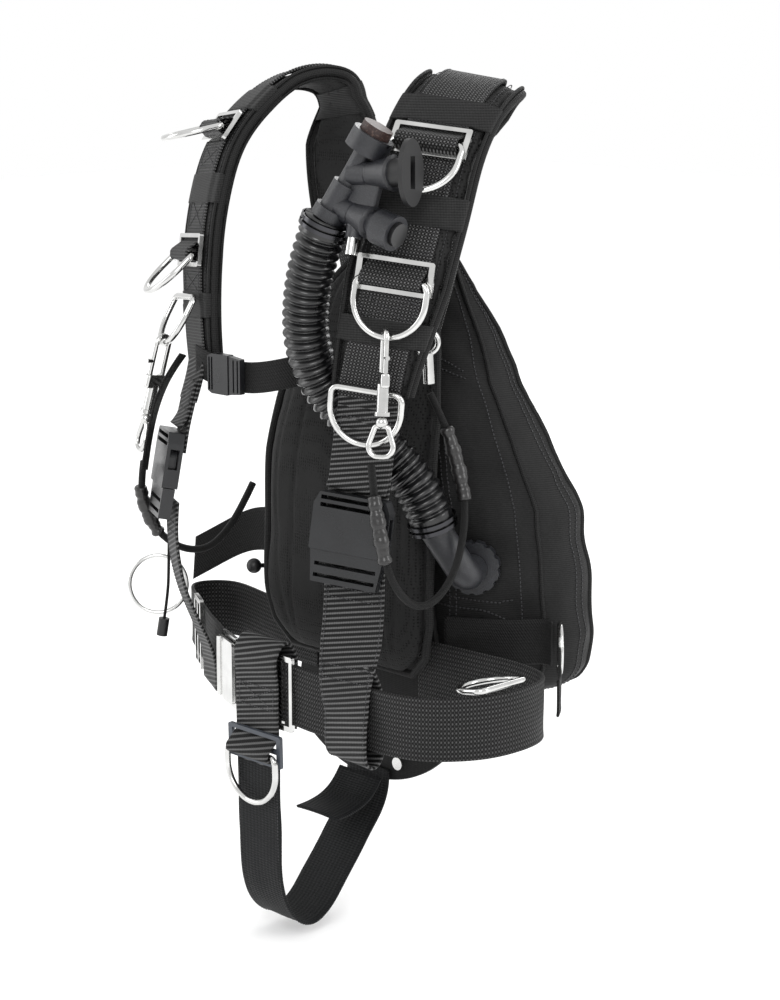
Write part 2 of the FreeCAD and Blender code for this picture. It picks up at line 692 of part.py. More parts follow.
casing_solid = doc.addObject("Part::MultiFuse", "inflator_casing")
casing_solid.Shapes = casing
hollows = doc.addObject("Part::MultiFuse", "inflator_hollows")
hollows.Shapes = [
    rod("deflate_bore", cap_top - barrel_way, cap_top + barrel_way * (DEFLATE_TRAVEL + 6), "deflate_bore"),
    rod("power_bore", POWER + power_way, POWER - power_way * (POWER_TRAVEL + 6), "power_bore"),
    rod("vent_hole", cap_top + barrel_way * 12 + mouth_way * 20, cap_top + barrel_way * 12 - mouth_way * 20,
        "vent_hole"),
]
inflator = doc.addObject("Part::Cut", "inflator_body")
inflator.Base = casing_solid
inflator.Tool = hollows
keep("inflator_body", inflator)
keep("deflate_button", rod("deflate_button", BARREL_TOP, cap_top + barrel_way * 5, "deflate_button"))
keep("power_button", rod("power_button", POWER + power_way * 3.5, POWER - power_way * 5, "power_button"))
nipple_start = nipple_root + NIPPLE_WAY * 17.1
NIPPLE_LENGTH = 13.0
keep("inflator_nipple", rod("inflator_nipple", nipple_start, nipple_start + NIPPLE_WAY * NIPPLE_LENGTH,
                            "nipple_diameter"))


def mouthpiece():
    """Soft oral mouthpiece: a neck, an oval lip and a flat slot through both."""
    body = doc.addObject("PartDesign::Body", "mouthpiece")
    neck = sketch_on(body, "mouth_neck")
    circle(neck, 0, 0, "mouth_tube")
    pad_from(body, neck, "mouth_neck_pad", "Sizes.mouth_neck")
    lip = sketch_on(body, "mouth_lip")
    lip.AttachmentOffset = FreeCAD.Placement(Vector(0, 0, size("mouth_neck") - 0.5), FreeCAD.Rotation())
    lip.addGeometry(Part.Ellipse(Vector(0, 0, 0), 25, 14.5), False)
    pad_from(body, lip, "mouth_lip_pad", "Sizes.lip_thick")
    slot = sketch_on(body, "mouth_slot")
    box(slot, 24, 6)
    pocket_from(body, slot, "mouth_slot_cut", "Sizes.mouth_neck * 4")
    body.Placement = frame(tuple(MOUTH - mouth_way * 11.9), (0, 0.1, 1), tuple(mouth_way))
    return keep("mouthpiece", body)


mouthpiece()

# ---------------------------------------------------------------- chest strap
CHEST_POINTS = [(-92, -129, -213), (-70, -135, -216), (-45, -135, -219), (-20, -134, -219), (2, -127, -215),
                (18, -112, -210), (33, -99, -206), (50, -95, -204), (66, -101, -203), (76, -110, -202)]
chest = Course(CHEST_POINTS, [(0, 0, 1)] * len(CHEST_POINTS))
CHEST_WIDTH = 25.0
CHEST_THICK = 1.8
chest_buckle_at = chest.knots[1] + 20.0
CHEST_TAIL = [(-97, -139, -209), (-102, -153, -230), (-103, -164, -253), (-104, -171, -278),
              (-105, -175, -300)]
chest_tail = Course(CHEST_TAIL, [(0.6, -0.75, 0.2)] * len(CHEST_TAIL))
CHEST_TAIL_WIDTH = 20.0
ratio = size("chest_scale")
chest_place = moved(chest.station(chest_buckle_at), z=CHEST_THICK + 0.6 + size("female_thick") * ratio / 2)
female_half = size("female_height") * ratio / 2
chest_male_foot = chest_buckle_at + female_half + size("male_height") * ratio
feature("chest_strap", ribbon(chest, 0, chest_buckle_at - female_half + 8, 4, CHEST_WIDTH, 0, CHEST_THICK),
        ribbon(chest, chest_male_foot - 7, chest.length, 14, CHEST_WIDTH, 0, CHEST_THICK),
        ribbon(chest_tail, 0, chest_tail.length, 10, CHEST_TAIL_WIDTH, 0, CHEST_THICK))
buckle_female("chest_buckle_female", chest_place, "Sizes.chest_scale")
buckle_male("chest_buckle_male", chest_place, "Sizes.chest_scale")

# ---------------------------------------------------------------- waist belt
BELT_POINTS = [(-60, -27.5, -463), (-110, -24, -463), (-160, -14, -463), (-196, -16, -463), (-207, -34, -463),
               (-188, -54, -463), (-152, -76, -463), (-120, -94, -463), (-85, -113, -463), (-52, -130, -463),
               (-26, -139, -464), (0, -141.5, -465), (26, -141.5, -466), (60, -141.5, -468), (96, -142.5,
                                                                                              -467),
               (132, -146, -465), (168, -145, -463), (198, -129, -461), (215, -100, -460), (217, -68, -460),
               (203, -38, -461), (168, -25, -462), (124, -24, -463), (90, -27, -463), (60, -27.5, -463)]
belt = Course(BELT_POINTS, [(0, 0, 1)] * len(BELT_POINTS))
feature("waist_belt", ribbon(belt, 0, belt.length, 72, WEB, 0, BELT_THICK))


def belt_along(index, past=0.0):
    """Distance along the belt at one of its route points, plus a little."""
    return belt.knots[index] + past


def waist_buckle():
    """Stainless cam buckle: a frame plate on the belt and a lever hinged along one upright edge."""
    place = moved(belt.station(belt_along(9, 8.0)), z=BELT_THICK + 0.5)
    body = doc.addObject("PartDesign::Body", "waist_buckle_frame")
    plate = sketch_on(body, "cam_plate")
    box(plate, 60, 34)
    box(plate, 53, 9, 8)
    box(plate, 53, 6, -9)
    pad = pad_from(body, plate, "cam_plate_pad", "Sizes.slide_thick")
    soften(body, pad, 2.5, lambda edge: upright(edge) and abs(edge.Vertexes[0].Point.x) > 29)
    body.Placement = place
    keep("waist_buckle_frame", body)
    lever = doc.addObject("PartDesign::Body", "waist_buckle_lever")
    flap = sketch_on(lever, "lever_flap")
    box(flap, 52, 31, -15.5)
    pad = pad_from(lever, flap, "lever_pad", "Sizes.lever_thick")
    soften(lever, pad, 3.0, lambda edge: upright(edge) and edge.Vertexes[0].Point.y < -30)
    knuckle = sketch_on(lever, "lever_knuckle", "YZ_Plane")
    circle(knuckle, 0, 2.4, "lever_knuckle")
    pad_from(lever, knuckle, "lever_knuckle_pad", "Sizes.lever_length", True)
    lever.Placement = moved(place, y=15.0, z=size("slide_thick") + 0.6)
    return keep("waist_buckle_lever", lever)


waist_buckle()

# ---------------------------------------------------------------- belt keepers, hip rings and wing corners
keepers = doc.addObject("Part::Compound", "belt_keepers")
keepers.Links = [slide_body("keeper_right", moved(belt.station(belt_along(6, 4)), z=BELT_THICK + 0.3)),
                 slide_body("keeper_left", moved(belt.station(belt_along(12, -2)), z=BELT_THICK + 0.3))]
keep("belt_keepers", keepers)

hip_bar = moved(belt.station(belt_along(18, 6)), x=WEB / 2 + 4.5, y=0.0, z=-2.0)
hip_left = frame(tuple(hip_bar.Base), (-0.05, -1.0, 0.0), (-0.2, 0, 1.0))
wire_ring("hip_ring_left", hip_left, 24.0, 14.0, "ring_wire")
HIP_RING_CENTRE = (-203, -84, -430)
right_ring = doc.addObject("Part::Torus", "hip_ring_right")
right_ring.setExpression("Radius1", "Sizes.big_ring / 2")
right_ring.setExpression("Radius2", "Sizes.big_ring_wire / 2")
right_ring.Placement = frame(HIP_RING_CENTRE, (0.62, 0.62, 0), (0.69, -0.69, 0.2))
keep("hip_ring_right", right_ring)

CORNER_LEFT = [(84, -21, -434), (112, -9, -433), (140, 9, -432), (158, 24, -432), (184, 7, -442),
               (192, -2, -449),
               (202, -12, -455), (211, -25, -457)]
CORNER_RIGHT = [(-98, -30, -376), (-118, -28, -376), (-144, -30, -381), (-166, -45, -395), (-181, -61, -407)]
corner_left = Course(CORNER_LEFT, [(0, 0, 1)] * len(CORNER_LEFT))
corner_right = Course(CORNER_RIGHT, [(0, 0.1, 1)] * len(CORNER_RIGHT))
feature("corner_straps",
        ribbon(corner_left, 0, corner_left.knots[3] + 3, 8, 38, 0, WEB_THICK),
        ribbon(corner_left, corner_left.knots[4], corner_left.length, 8, 30, 0, WEB_THICK),
        ribbon(corner_right, 0, corner_right.length, 8, 38, 0, WEB_THICK))
corner_ring_place = frame((164.5, 27.5, -434), (0, 0, 1), (-0.707, -0.707, 0))
wire_ring("wing_corner_ring", corner_ring_place, 20.0, 8.0, "big_ring_wire")

# ---------------------------------------------------------------- crotch strap
CROTCH_POINTS = [(-132, -500), (-131, -455), (-132, -437), (-141, -428), (-150, -437), (-150, -455),
                 (-149.5, -480),
                 (-149, -511), (-148.5, -548), (-148, -590), (-147, -618), (-143, -641), (-133,
                                                                                          -659), (-115, -670),
                 (-98, -664), (-82, -648), (-65, -628), (-49, -609), (-36, -594), (-29, -578), (-27.5, -560)]
crotch = Course([(0, y, z) for y, z in CROTCH_POINTS], [(1, 0, 0)] * len(CROTCH_POINTS))
TAIL_POINTS = [(-34, -566), (-46, -580), (-64, -588), (-86, -590)]
tail = Course([(0, y, z) for y, z in TAIL_POINTS], [(1, 0, 0)] * len(TAIL_POINTS))
CROTCH_SLIDER_HEIGHT = -514.0
crotch_slide_at = crotch.station(crotch.at_height(CROTCH_SLIDER_HEIGHT, crotch.knots[5]))
feature("crotch_strap", ribbon(crotch, 0, crotch.length, 110, WEB, 0, WEB_THICK),
        bump(moved(crotch_slide_at, z=WEB_THICK - 0.2), WEB - 2),
        ribbon(tail, 0, tail.length, 8, WEB, 0, WEB_THICK))
keep("crotch_slider", slide_body("crotch_slider", moved(crotch_slide_at, z=WEB_THICK + 0.3)))
wire_ring("crotch_ring", moved(crotch_slide_at, y=-BAR_DROP, z=WEB_THICK + 7.0), size("ring_half"),
          size("ring_arm"), "ring_wire")

# ---------------------------------------------------------------- bolt snaps
HOOK_RADIUS = 7.0
HOOK_WIRE = 2.3
HEAD_TOP = -26.0
HEAD_FOOT = -38.0
BARREL_END = -56.0
SWIVEL = -64.0
BAIL_TOP = -67.0
BAIL_FOOT = -90.0
HOOK_TURN = -60.0     # how far the hook's plane is turned from the strap's width
HOOK_OFFSET = 1.6     # the ring's wire bears against the shank, not the middle of the hook


def hanging(base, down, out):
    """Placement with -Y along a hanging snap and Z away from the wearer."""
    fall = Vector(*down).normalize()
    away = Vector(*out) - fall * fall.dot(Vector(*out))
    return frame(tuple(base), tuple(fall.cross(away) * -1), tuple(away))


def cylinder_between(start, end, radius):
    """Solid cylinder between two points of a snap's own frame."""
    reach = Vector(*end) - Vector(*start)
    return Part.makeCylinder(radius, reach.Length, Vector(*start), reach)


def bolt_snap(hand, place):
    """Bolt snap: hook and barrel, sprung gate, and a bail that swivels under the barrel."""
    turned = moved(moved(place, turn=HOOK_TURN), x=HOOK_OFFSET)
    below = FreeCAD.Placement(place)
    below.Base = turned.Base
    tip = -1.0
    path = Part.Wire([Part.makeLine(Vector(-HOOK_RADIUS, HEAD_TOP - 4, 0), Vector(-HOOK_RADIUS, tip, 0)),
                      Part.Arc(Vector(-HOOK_RADIUS, tip, 0), Vector(0, tip + HOOK_RADIUS, 0),
                               Vector(HOOK_RADIUS, tip, 0)).toShape()])
    ring = Part.Wire(Part.makeCircle(HOOK_WIRE, Vector(-HOOK_RADIUS, HEAD_TOP - 4, 0), Vector(0, 1, 0)))
    hook = path.makePipeShell([ring], True, False)
    head = Part.makeBox(2 * HOOK_RADIUS + 6, HEAD_TOP - HEAD_FOOT, 7,
                        Vector(-HOOK_RADIUS - 3, HEAD_FOOT, -3.5))
    head = head.makeFillet(2.5, head.Edges)
    barrel = cylinder_between((0, HEAD_FOOT + 3, 0), (0, BARREL_END, 0), size("snap_shank") / 2)
    collar = cylinder_between((0, BARREL_END, 0), (0, BARREL_END - 3, 0), 6.0)
    bore = cylinder_between((HOOK_RADIUS, HEAD_TOP + 2, 0), (HOOK_RADIUS, HEAD_FOOT + 0.8, 0), 2.3)
    body = hook.fuse([head, barrel, collar]).cut(bore)
    gate = cylinder_between((HOOK_RADIUS, tip - 0.4, 0), (HOOK_RADIUS, HEAD_TOP - 2, 0), 2.0)
    knob = cylinder_between((HOOK_RADIUS, -15, 0), (HOOK_RADIUS + 7, -15, 0), 1.8)
    bail_points = [(-0.4, BAIL_TOP, 0), (-5, BAIL_TOP, 0), (-13, BAIL_FOOT, 0), (13, BAIL_FOOT, 0),
                   (5, BAIL_TOP, 0), (0.4, BAIL_TOP, 0)]
    bail = tube(bail_points, 4.2, f"snap_bail_{hand}")
    ball = Part.makeSphere(4.6, Vector(0, SWIVEL, 0))
    eye = bail.fuse(ball)
    for name, solid, where in (("snap_body", body, turned), ("snap_gate", gate.fuse(knob), turned),
                               ("snap_eye", eye, below)):
        feature(f"{name}_{hand}", solid).Placement = where


ring_reach = size("ring_half") + size("ring_arm")
left_ring_foot = moved(lower_slide, y=-BAR_DROP - ring_reach, z=ring_lift)
right_ring_foot = moved(pad_ring_right, y=-ring_reach)
snap_seat = Vector(0, 1, 0)    # the hook bears on the front of the ring's wire
snap_left = hanging(left_ring_foot.Base + snap_seat, (0.05, -0.11, -1.0), (0.42, -0.9, 0))
snap_right = hanging(right_ring_foot.Base + snap_seat, (-0.17, -0.17, -1.0), (-0.42, -0.9, 0))
bolt_snap("left", snap_left)
bolt_snap("right", snap_right)
rear_snap_at = hanging((100, -60, -184), (0.03, 0.06, -1.0), (0.8, -0.5, 0))
rear = [Part.makeTorus(9.0, 2.2, Vector(0, -2, 0), Vector(0, 0, 1)),
        cylinder_between((0, -10, 0), (0, -34, 0), 4.5)]
feature("rear_snap", rear[0].fuse(rear[1])).Placement = rear_snap_at

# ---------------------------------------------------------------- bungee cords
LEFT_BUNGEE = [(116, -136, -269), (122, -139, -292), (129, -141, -316), (133, -138, -343), (134, -126, -367),
               (135, -107, -383), (136, -86, -382), (137, -67, -364), (135, -54, -337), (128, -45, -309),
               (118, -42, -281), (109, -47, -253), (101, -57, -226)]
RIGHT_BUNGEE = [(-133, -154, -300), (-138, -154, -322), (-140, -148, -345), (-134, -138, -364),
                (-120, -126, -377),
                (-104, -112, -377), (-98, -96, -364), (-97, -80, -346), (-97, -66, -326)]
feature("bungee_left", tube(LEFT_BUNGEE, size("bungee_diameter"), "bungee_left"))
feature("bungee_right", tube(RIGHT_BUNGEE, size("bungee_diameter"), "bungee_right"))
sleeve = size("sleeve_diameter")
feature("bungee_sleeves", tube(LEFT_BUNGEE[1:4], sleeve, "sleeve_front"),
        tube(LEFT_BUNGEE[9:12], sleeve, "sleeve_rear"), tube(RIGHT_BUNGEE[1:4], sleeve, "sleeve_right"))

# ---------------------------------------------------------------- dump valve and toggle cord
DUMP_FOOT = Vector(-116, 1, -412)
DUMP_KNOB = Vector(-115, -50, -404)
dump_normal = Vector(-PANEL_NORMAL.x, PANEL_NORMAL.y, 0)
keep("dump_valve", rod("dump_valve", DUMP_FOOT - dump_normal * 2, DUMP_FOOT + dump_normal * 7,
                       "dump_diameter"))
dump_way = (DUMP_KNOB - DUMP_FOOT).normalize()
dump_ball = doc.addObject("Part::Sphere", "dump_ball")
dump_ball.setExpression("Radius", "Sizes.dump_knob / 2")
dump_ball.Placement = FreeCAD.Placement(DUMP_KNOB, FreeCAD.Rotation())
fuse("dump_pull", dump_ball, rod("dump_stem", DUMP_FOOT + dump_way * 13, DUMP_KNOB, "dump_stem"))

TOGGLE_CORD = [(-133, -129, -374), (-135, -128, -394), (-133, -131, -416), (-135, -134, -438)]
feature("toggle_cord", tube(TOGGLE_CORD, size("pull_cord_diameter"), "toggle_cord"))
toggle_end = Vector(*TOGGLE_CORD[-1])
toggle_way = (toggle_end - Vector(*TOGGLE_CORD[-2])).normalize()
keep("toggle_knob", rod("toggle_knob", toggle_end, toggle_end + toggle_way * 15, "pull_knob"))


# ---------------------------------------------------------------- check and export
def solid_only(shape):
    """The closed solids of a shape, as one solid or one compound."""
    solids = shape.Solids
    return solids[0] if len(solids) == 1 else Part.makeCompound(solids)


doc.recompute()
for item in doc.Objects:
    if "Invalid" in item.State or "Error" in item.State:
        raise RuntimeError(f"{item.Name} is {item.State}")
os.makedirs("parts", exist_ok=True)
for label, item in nodes.items():
    shape = item.Shape
    if shape.isNull() or not shape.isValid() or not shape.Solids:
        raise RuntimeError(f"{label} has no valid solid")
    if min(solid.Volume for solid in shape.Solids) <= 0:
        raise RuntimeError(f"{label} holds a solid that is inside out")
    solid_only(shape).exportStep(f"parts/{label}.step")
print(len(nodes), "nodes written")
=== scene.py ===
import math

import bmesh
import bpy
import numpy as np
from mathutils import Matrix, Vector, noise


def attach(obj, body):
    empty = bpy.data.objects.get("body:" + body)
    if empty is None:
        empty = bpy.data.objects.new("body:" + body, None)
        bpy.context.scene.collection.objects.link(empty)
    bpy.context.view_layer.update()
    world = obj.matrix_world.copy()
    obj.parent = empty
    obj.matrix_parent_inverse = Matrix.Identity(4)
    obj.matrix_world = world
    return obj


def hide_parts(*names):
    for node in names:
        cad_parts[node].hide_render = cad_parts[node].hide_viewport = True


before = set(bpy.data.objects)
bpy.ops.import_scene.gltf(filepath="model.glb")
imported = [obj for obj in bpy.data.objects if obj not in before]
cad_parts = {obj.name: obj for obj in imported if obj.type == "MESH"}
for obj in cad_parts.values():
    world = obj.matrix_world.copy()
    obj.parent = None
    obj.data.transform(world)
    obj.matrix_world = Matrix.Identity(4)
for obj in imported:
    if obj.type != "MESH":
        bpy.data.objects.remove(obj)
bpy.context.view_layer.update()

MM = 0.001


# ---------------------------------------------------------------- routes and frames
def unit(vectors):
    """Each row scaled to length one."""
    vectors = np.asarray(vectors, float)
    return vectors / np.maximum(np.linalg.norm(vectors, axis=-1, keepdims=True), 1e-12)


class Course:
    """Smooth line through route points given in millimetres, with the width direction shared out along it."""

    def __init__(self, points, sides=None):
        self.points = np.array(points, float) * MM
        gaps = np.linalg.norm(np.diff(self.points, axis=0), axis=1)
        self.knots = np.concatenate([[0], np.cumsum(gaps)])
        self.length = float(self.knots[-1])
        self.sides = np.array(sides if sides is not None else [(0, 0, 1)] * len(points), float)
        count = len(points)
        system = np.eye(count)
        right = np.zeros((count, 3))
        for i in range(1, count - 1):
            system[i, i - 1:i + 2] = gaps[i - 1], 2 * (gaps[i - 1] + gaps[i]), gaps[i]
            right[i] = 6 * ((self.points[i + 1] - self.points[i]) / gaps[i]
                            - (self.points[i] - self.points[i - 1]) / gaps[i - 1])
        self.second = np.linalg.solve(system, right)

    def value(self, along):
        """Points and unit tangents at distances along the line."""
        along = np.clip(np.atleast_1d(along), 0, self.length)
        i = np.clip(np.searchsorted(self.knots, along, side="right") - 1, 0, len(self.knots) - 2)
        gap = (self.knots[i + 1] - self.knots[i])[:, None]
        b = (along[:, None] - self.knots[i][:, None]) / gap
        a = 1 - b
        low, high = self.second[i], self.second[i + 1]
        point = (a * self.points[i] + b * self.points[i + 1]
                 + ((a ** 3 - a) * low + (b ** 3 - b) * high) * gap ** 2 / 6)
        tangent = ((self.points[i + 1] - self.points[i]) / gap
                   + ((3 * b ** 2 - 1) * high - (3 * a ** 2 - 1) * low) * gap / 6)
        return point, unit(tangent)

    def frame(self, along):
        """Point, across, back up the line, and out, at distances along it."""
        along = np.clip(np.atleast_1d(along), 0, self.length)
        point, tangent = self.value(along)
        side = np.stack([np.interp(along, self.knots, self.sides[:, k]) for k in range(3)], 1)
        out = unit(np.cross(tangent, side))
        across = unit(side - out * np.sum(side * out, 1, keepdims=True))
        return point, across, np.cross(out, across), out

    def at_height(self, height, low=0.0):
        """Distance after low where the line first comes down to a height in millimetres."""
        along = np.linspace(low, self.length, 800)
        z = self.value(along)[0][:, 2]
        hit = np.nonzero((z[:-1] > height * MM) & (z[1:] <= height * MM))[0][0]
        return float(along[hit + 1])


def mirrored(points):
    """The same points on the other side of the vest."""
    return [(-p[0], *p[1:]) for p in points]


# ---------------------------------------------------------------- mesh makers
def new_mesh(name, verts, faces, uv=None, smooth=True):
    """Mesh object in the scene; uv holds one pair for each face corner."""
    mesh = bpy.data.meshes.new(name)
    mesh.from_pydata([tuple(v) for v in verts], [], [tuple(f) for f in faces])
    if uv is not None:
        layer = mesh.uv_layers.new(name="UVMap")
        layer.data.foreach_set("uv", np.asarray(uv, np.float32).ravel())
    obj = bpy.data.objects.new(name, mesh)
    bpy.context.scene.collection.objects.link(obj)
    if smooth:
        mesh.shade_smooth()
    return obj


def loft(name, rings, cap=True, along=None, smooth=True):
    """Skin over closed rings of equal point count, with UVs in metres round and along."""
    rings = np.asarray(rings, float)
    rows, count = rings.shape[:2]
    verts = rings.reshape(-1, 3)
    nxt = np.roll(np.arange(count), -1)
    round_gap = np.linalg.norm(np.roll(rings, -1, axis=1) - rings, axis=2).mean(0)
    u = np.concatenate([[0], np.cumsum(round_gap)])
    if along is None:
        steps = np.linalg.norm(np.diff(rings.mean(1), axis=0), axis=1)
        along = np.concatenate([[0], np.cumsum(steps)])
    faces, uv = [], []
    for r in range(rows - 1):
        for c in range(count):
            d = nxt[c]
            faces.append((r * count + c, r * count + d, (r + 1) * count + d, (r + 1) * count + c))
            uv += [(u[c], along[r]), (u[c + 1], along[r]), (u[c + 1], along[r + 1]), (u[c], along[r + 1])]
    if cap:
        for row, order in ((0, range(count - 1, -1, -1)), (rows - 1, range(count))):
            faces.append([row * count + c for c in order])
            uv += [(u[c], along[row]) for c in order]
    obj = new_mesh(name, verts, faces, uv, smooth)
    fix_normals(obj)
    return obj


def fix_normals(obj):
    """Turns all faces outward."""
    bm = bmesh.new()
    bm.from_mesh(obj.data)
    bmesh.ops.recalc_face_normals(bm, faces=bm.faces)
    bm.to_mesh(obj.data)
    bm.free()


def strap_profile(width, thick, cols):
    """Section of webbing: nearly flat faces, full rounded selvages. Points as (across, height)."""
    half = width / 2
    edge = min(1.3 * MM, thick * 0.5)
    inner = np.linspace(-half + edge, half - edge, cols)
    ridge = 1 - 0.10 * (np.abs(inner) < half - 3.2 * MM)
    top = [(-half + edge * 0.3, thick * 0.84)] + [(x, thick * k) for x, k in zip(inner, ridge)]
    top += [(half - edge * 0.3, thick * 0.84), (half, thick * 0.5)]
    low = [(half - edge * 0.3, thick * 0.16)] + [(x, thick * (1 - k)) for x,
                                                 k in zip(inner[::-1], ridge[::-1])]
    low += [(-half + edge * 0.3, thick * 0.16), (-half, thick * 0.5)]
    return np.array(top + low)


def strap(name, course, start, end, width, base, thick, lift=None, cols=11, step=3.0, wave=0.25, seed=0.0):
    """Webbing between two distances; width, base and thick in millimetres, lift(along) in metres."""
    rows = max(2, int(math.ceil((end - start) / (step * MM))))
    along = np.linspace(start, end, rows + 1)
    p, across, back, out = course.frame(along)
    profile = strap_profile(width * MM, thick * MM, cols)
    rings = np.empty((rows + 1, len(profile), 3))
    for r, s in enumerate(along):
        rise = base * MM + (lift(s) if lift else 0.0)
        for c, (x, h) in enumerate(profile):
            ripple = wave * MM * noise.noise(Vector((x * 45, s * 28, seed)))
            sway = 0.5 * wave * MM * noise.noise(Vector((s * 22, seed + 9.1, 0.3)))
            rings[r, c] = p[r] + across[r] * (x + sway) + out[r] * (rise + h + ripple)
    return loft(name, rings, along=along)


def tube(name, points, radius, sides=16, cap=True, turn=0.0):
    """Round skin along a dense line of points in metres; radius is a number or one for each point."""
    points = np.asarray(points, float)
    radius = np.broadcast_to(np.asarray(radius, float), (len(points),))
    tangent = unit(np.gradient(points, axis=0))
    side = unit(np.cross(tangent[0], (0.3, 0.5, 0.81)))
    rings = []
    angle = np.linspace(0, 2 * math.pi, sides, endpoint=False) + turn
    for p, t, r in zip(points, tangent, radius):
        side = unit(side - t * np.dot(side, t))
        up = np.cross(t, side)
        rings.append(p + r * (np.cos(angle)[:, None] * side + np.sin(angle)[:, None] * up))
    return loft(name, rings, cap=cap)


def corner_path(points, step=2.0):
    """Dense points of the quadratic spline that part.py's rounded routes follow, in metres."""
    points = np.array(points, float) * MM
    knots = [points[0]] + [(a + b) / 2 for a, b in zip(points[1:-1], points[2:-1])] + [points[-1]]
    dense = []
    for start, control, end in zip(knots, points[1:-1], knots[1:]):
        size = np.linalg.norm(end - start)
        for t in np.linspace(0, 1, max(3, int(size / (step * MM))), endpoint=False):
            dense.append((1 - t) ** 2 * start + 2 * t * (1 - t) * control + t ** 2 * end)
    dense.append(points[-1])
    return np.array(dense)


def merge(name, objects):
    """One object from several meshes that share a material."""
    bm = bmesh.new()
    for o in objects:
        bm.from_mesh(o.data)
    target = objects[0]
    bm.to_mesh(target.data)
    bm.free()
    for o in objects[1:]:
        bpy.data.objects.remove(o)
    target.name = name
    target.data.name = name
    return target


def stitches(name, lines, pitch=3.0, radius=0.36):
    """Sewing thread: a short rounded run for each stitch along lines of (point, normal) pairs in metres."""
    verts, faces = [], []
    for points, normals in lines:
        points, normals = np.asarray(points, float), np.asarray(normals, float)
        gaps = np.linalg.norm(np.diff(points, axis=0), axis=1)
        knots = np.concatenate([[0], np.cumsum(gaps)])
        for s in np.arange(pitch * MM * 0.5, knots[-1], pitch * MM):
            at = np.array([np.interp(s, knots, points[:, k]) for k in range(3)])
            ahead = np.array([np.interp(min(s + 1e-4, knots[-1]), knots, points[:, k]) for k in range(3)])
            before = np.array([np.interp(max(s - 1e-4, 0), knots, points[:, k]) for k in range(3)])
            way = unit(ahead - before)
            out = unit(np.array([np.interp(s, knots, normals[:, k]) for k in range(3)]))
            side = np.cross(way, out)
            first = len(verts)
            half = pitch * MM * 0.36
            for offset, share in ((-half, 0.35), (-half * 0.5, 1.0), (half * 0.5, 1.0), (half, 0.35)):
                for k in range(6):
                    angle = k * math.pi / 3
                    verts.append(at + way * offset + radius * MM * share
                                 * (math.cos(angle) * side * 1.3 + math.sin(angle) * out))
            for ring in range(3):
                for k in range(6):
                    a, b = first + ring * 6 + k, first + ring * 6 + (k + 1) % 6
                    faces.append((a, b, b + 6, a + 6))
            faces += [[first + k for k in range(5, -1, -1)], [first + 18 + k for k in range(6)]]
    return new_mesh(name, verts, faces)


def strap_stitch_box(course, s0, s1, width, height, cross=True):
    """Stitch lines of a sewn box, with a cross in it, on a strap's outer face."""
    half = width / 2 * MM
    corners = [(-half, s0), (half, s0), (half, s1), (-half, s1), (-half, s0)]
    runs = [corners]
    if cross:
        runs += [[(-half, s0), (half, s1)], [(half, s0), (-half, s1)]]
    lines = []
    for run in runs:
        points, normals = [], []
        for (x0, a0), (x1, a1) in zip(run, run[1:]):
            for t in np.linspace(0, 1, 9):
                p, across, back, out = (v[0] for v in course.frame(a0 + (a1 - a0) * t))
                points.append(p + across * (x0 + (x1 - x0) * t) + out * height * MM)
                normals.append(out)
        lines.append((points, normals))
    return lines


def puff(obj, voxel=5.0, pressure=4.0, cap=4.0, relax=4, frames=20, subdivide=True):
    """Swells a closed soft shape by cloth simulation under inside pressure; voxel and cap in millimetres."""
    mod = obj.modifiers.new("remesh", "REMESH")
    mod.mode = "VOXEL"
    mod.voxel_size = voxel * MM
    settle(obj)
    smooth_verts(obj, 2, 0.5)
    cloth = obj.modifiers.new("cloth", "CLOTH")
    cloth.settings.use_pressure = True
    cloth.settings.uniform_pressure_force = pressure
    cloth.settings.quality = 4
    cloth.settings.mass = 0.2
    cloth.settings.effector_weights.gravity = 0
    start = points_of(obj)
    scene = bpy.context.scene
    for f in range(1, frames + 1):
        scene.frame_set(f)
    settle(obj)
    moved = points_of(obj) - start
    size = np.linalg.norm(moved, axis=1, keepdims=True)
    limit = cap * MM
    moved *= np.minimum(1, limit * np.tanh(size / limit) / np.maximum(size, 1e-9))
    set_points(obj, start + moved)
    scene.frame_set(1)
    smooth_verts(obj, relax, 0.5)
    if subdivide:
        mod = obj.modifiers.new("subdivide", "SUBSURF")
        mod.levels = 1
        mod.render_levels = 1
        settle(obj)
    obj.data.shade_smooth()
    return obj


def settle(obj):
    """Applies every modifier of an object to its mesh."""
    bpy.context.view_layer.update()
    graph = bpy.context.evaluated_depsgraph_get()
    mesh = bpy.data.meshes.new_from_object(obj.evaluated_get(graph))
    obj.modifiers.clear()
    obj.data = mesh


def points_of(obj):
    """The mesh's points as an array."""
    co = np.empty(len(obj.data.vertices) * 3)
    obj.data.vertices.foreach_get("co", co)
    return co.reshape(-1, 3)


def set_points(obj, co):
    """Writes an array of points back to the mesh."""
    obj.data.vertices.foreach_set("co", np.asarray(co, float).ravel())
    obj.data.update()


def normals_of(obj):
    """The mesh's point normals as an array."""
    no = np.empty(len(obj.data.vertices) * 3)
    obj.data.vertices.foreach_get("normal", no)
    return no.reshape(-1, 3)


def smooth_verts(obj, rounds, share):
    """Laplacian smoothing in place."""
    edges = np.empty(len(obj.data.edges) * 2, int)
    obj.data.edges.foreach_get("vertices", edges)
    edges = edges.reshape(-1, 2)
    co = points_of(obj)
    degree = np.bincount(edges.ravel(), minlength=len(co))[:, None]
    for _ in range(rounds):
        total = np.zeros_like(co)
        np.add.at(total, edges[:, 0], co[edges[:, 1]])
        np.add.at(total, edges[:, 1], co[edges[:, 0]])
        co = co + share * (total / np.maximum(degree, 1) - co)
    set_points(obj, co)


def dent(obj, amount):
    """Moves each point along its normal by amount(point, normal), in metres."""
    co, no = points_of(obj), normals_of(obj)
    depth = np.array([amount(p, n) for p, n in zip(co, no)])
    set_points(obj, co + no * depth[:, None])


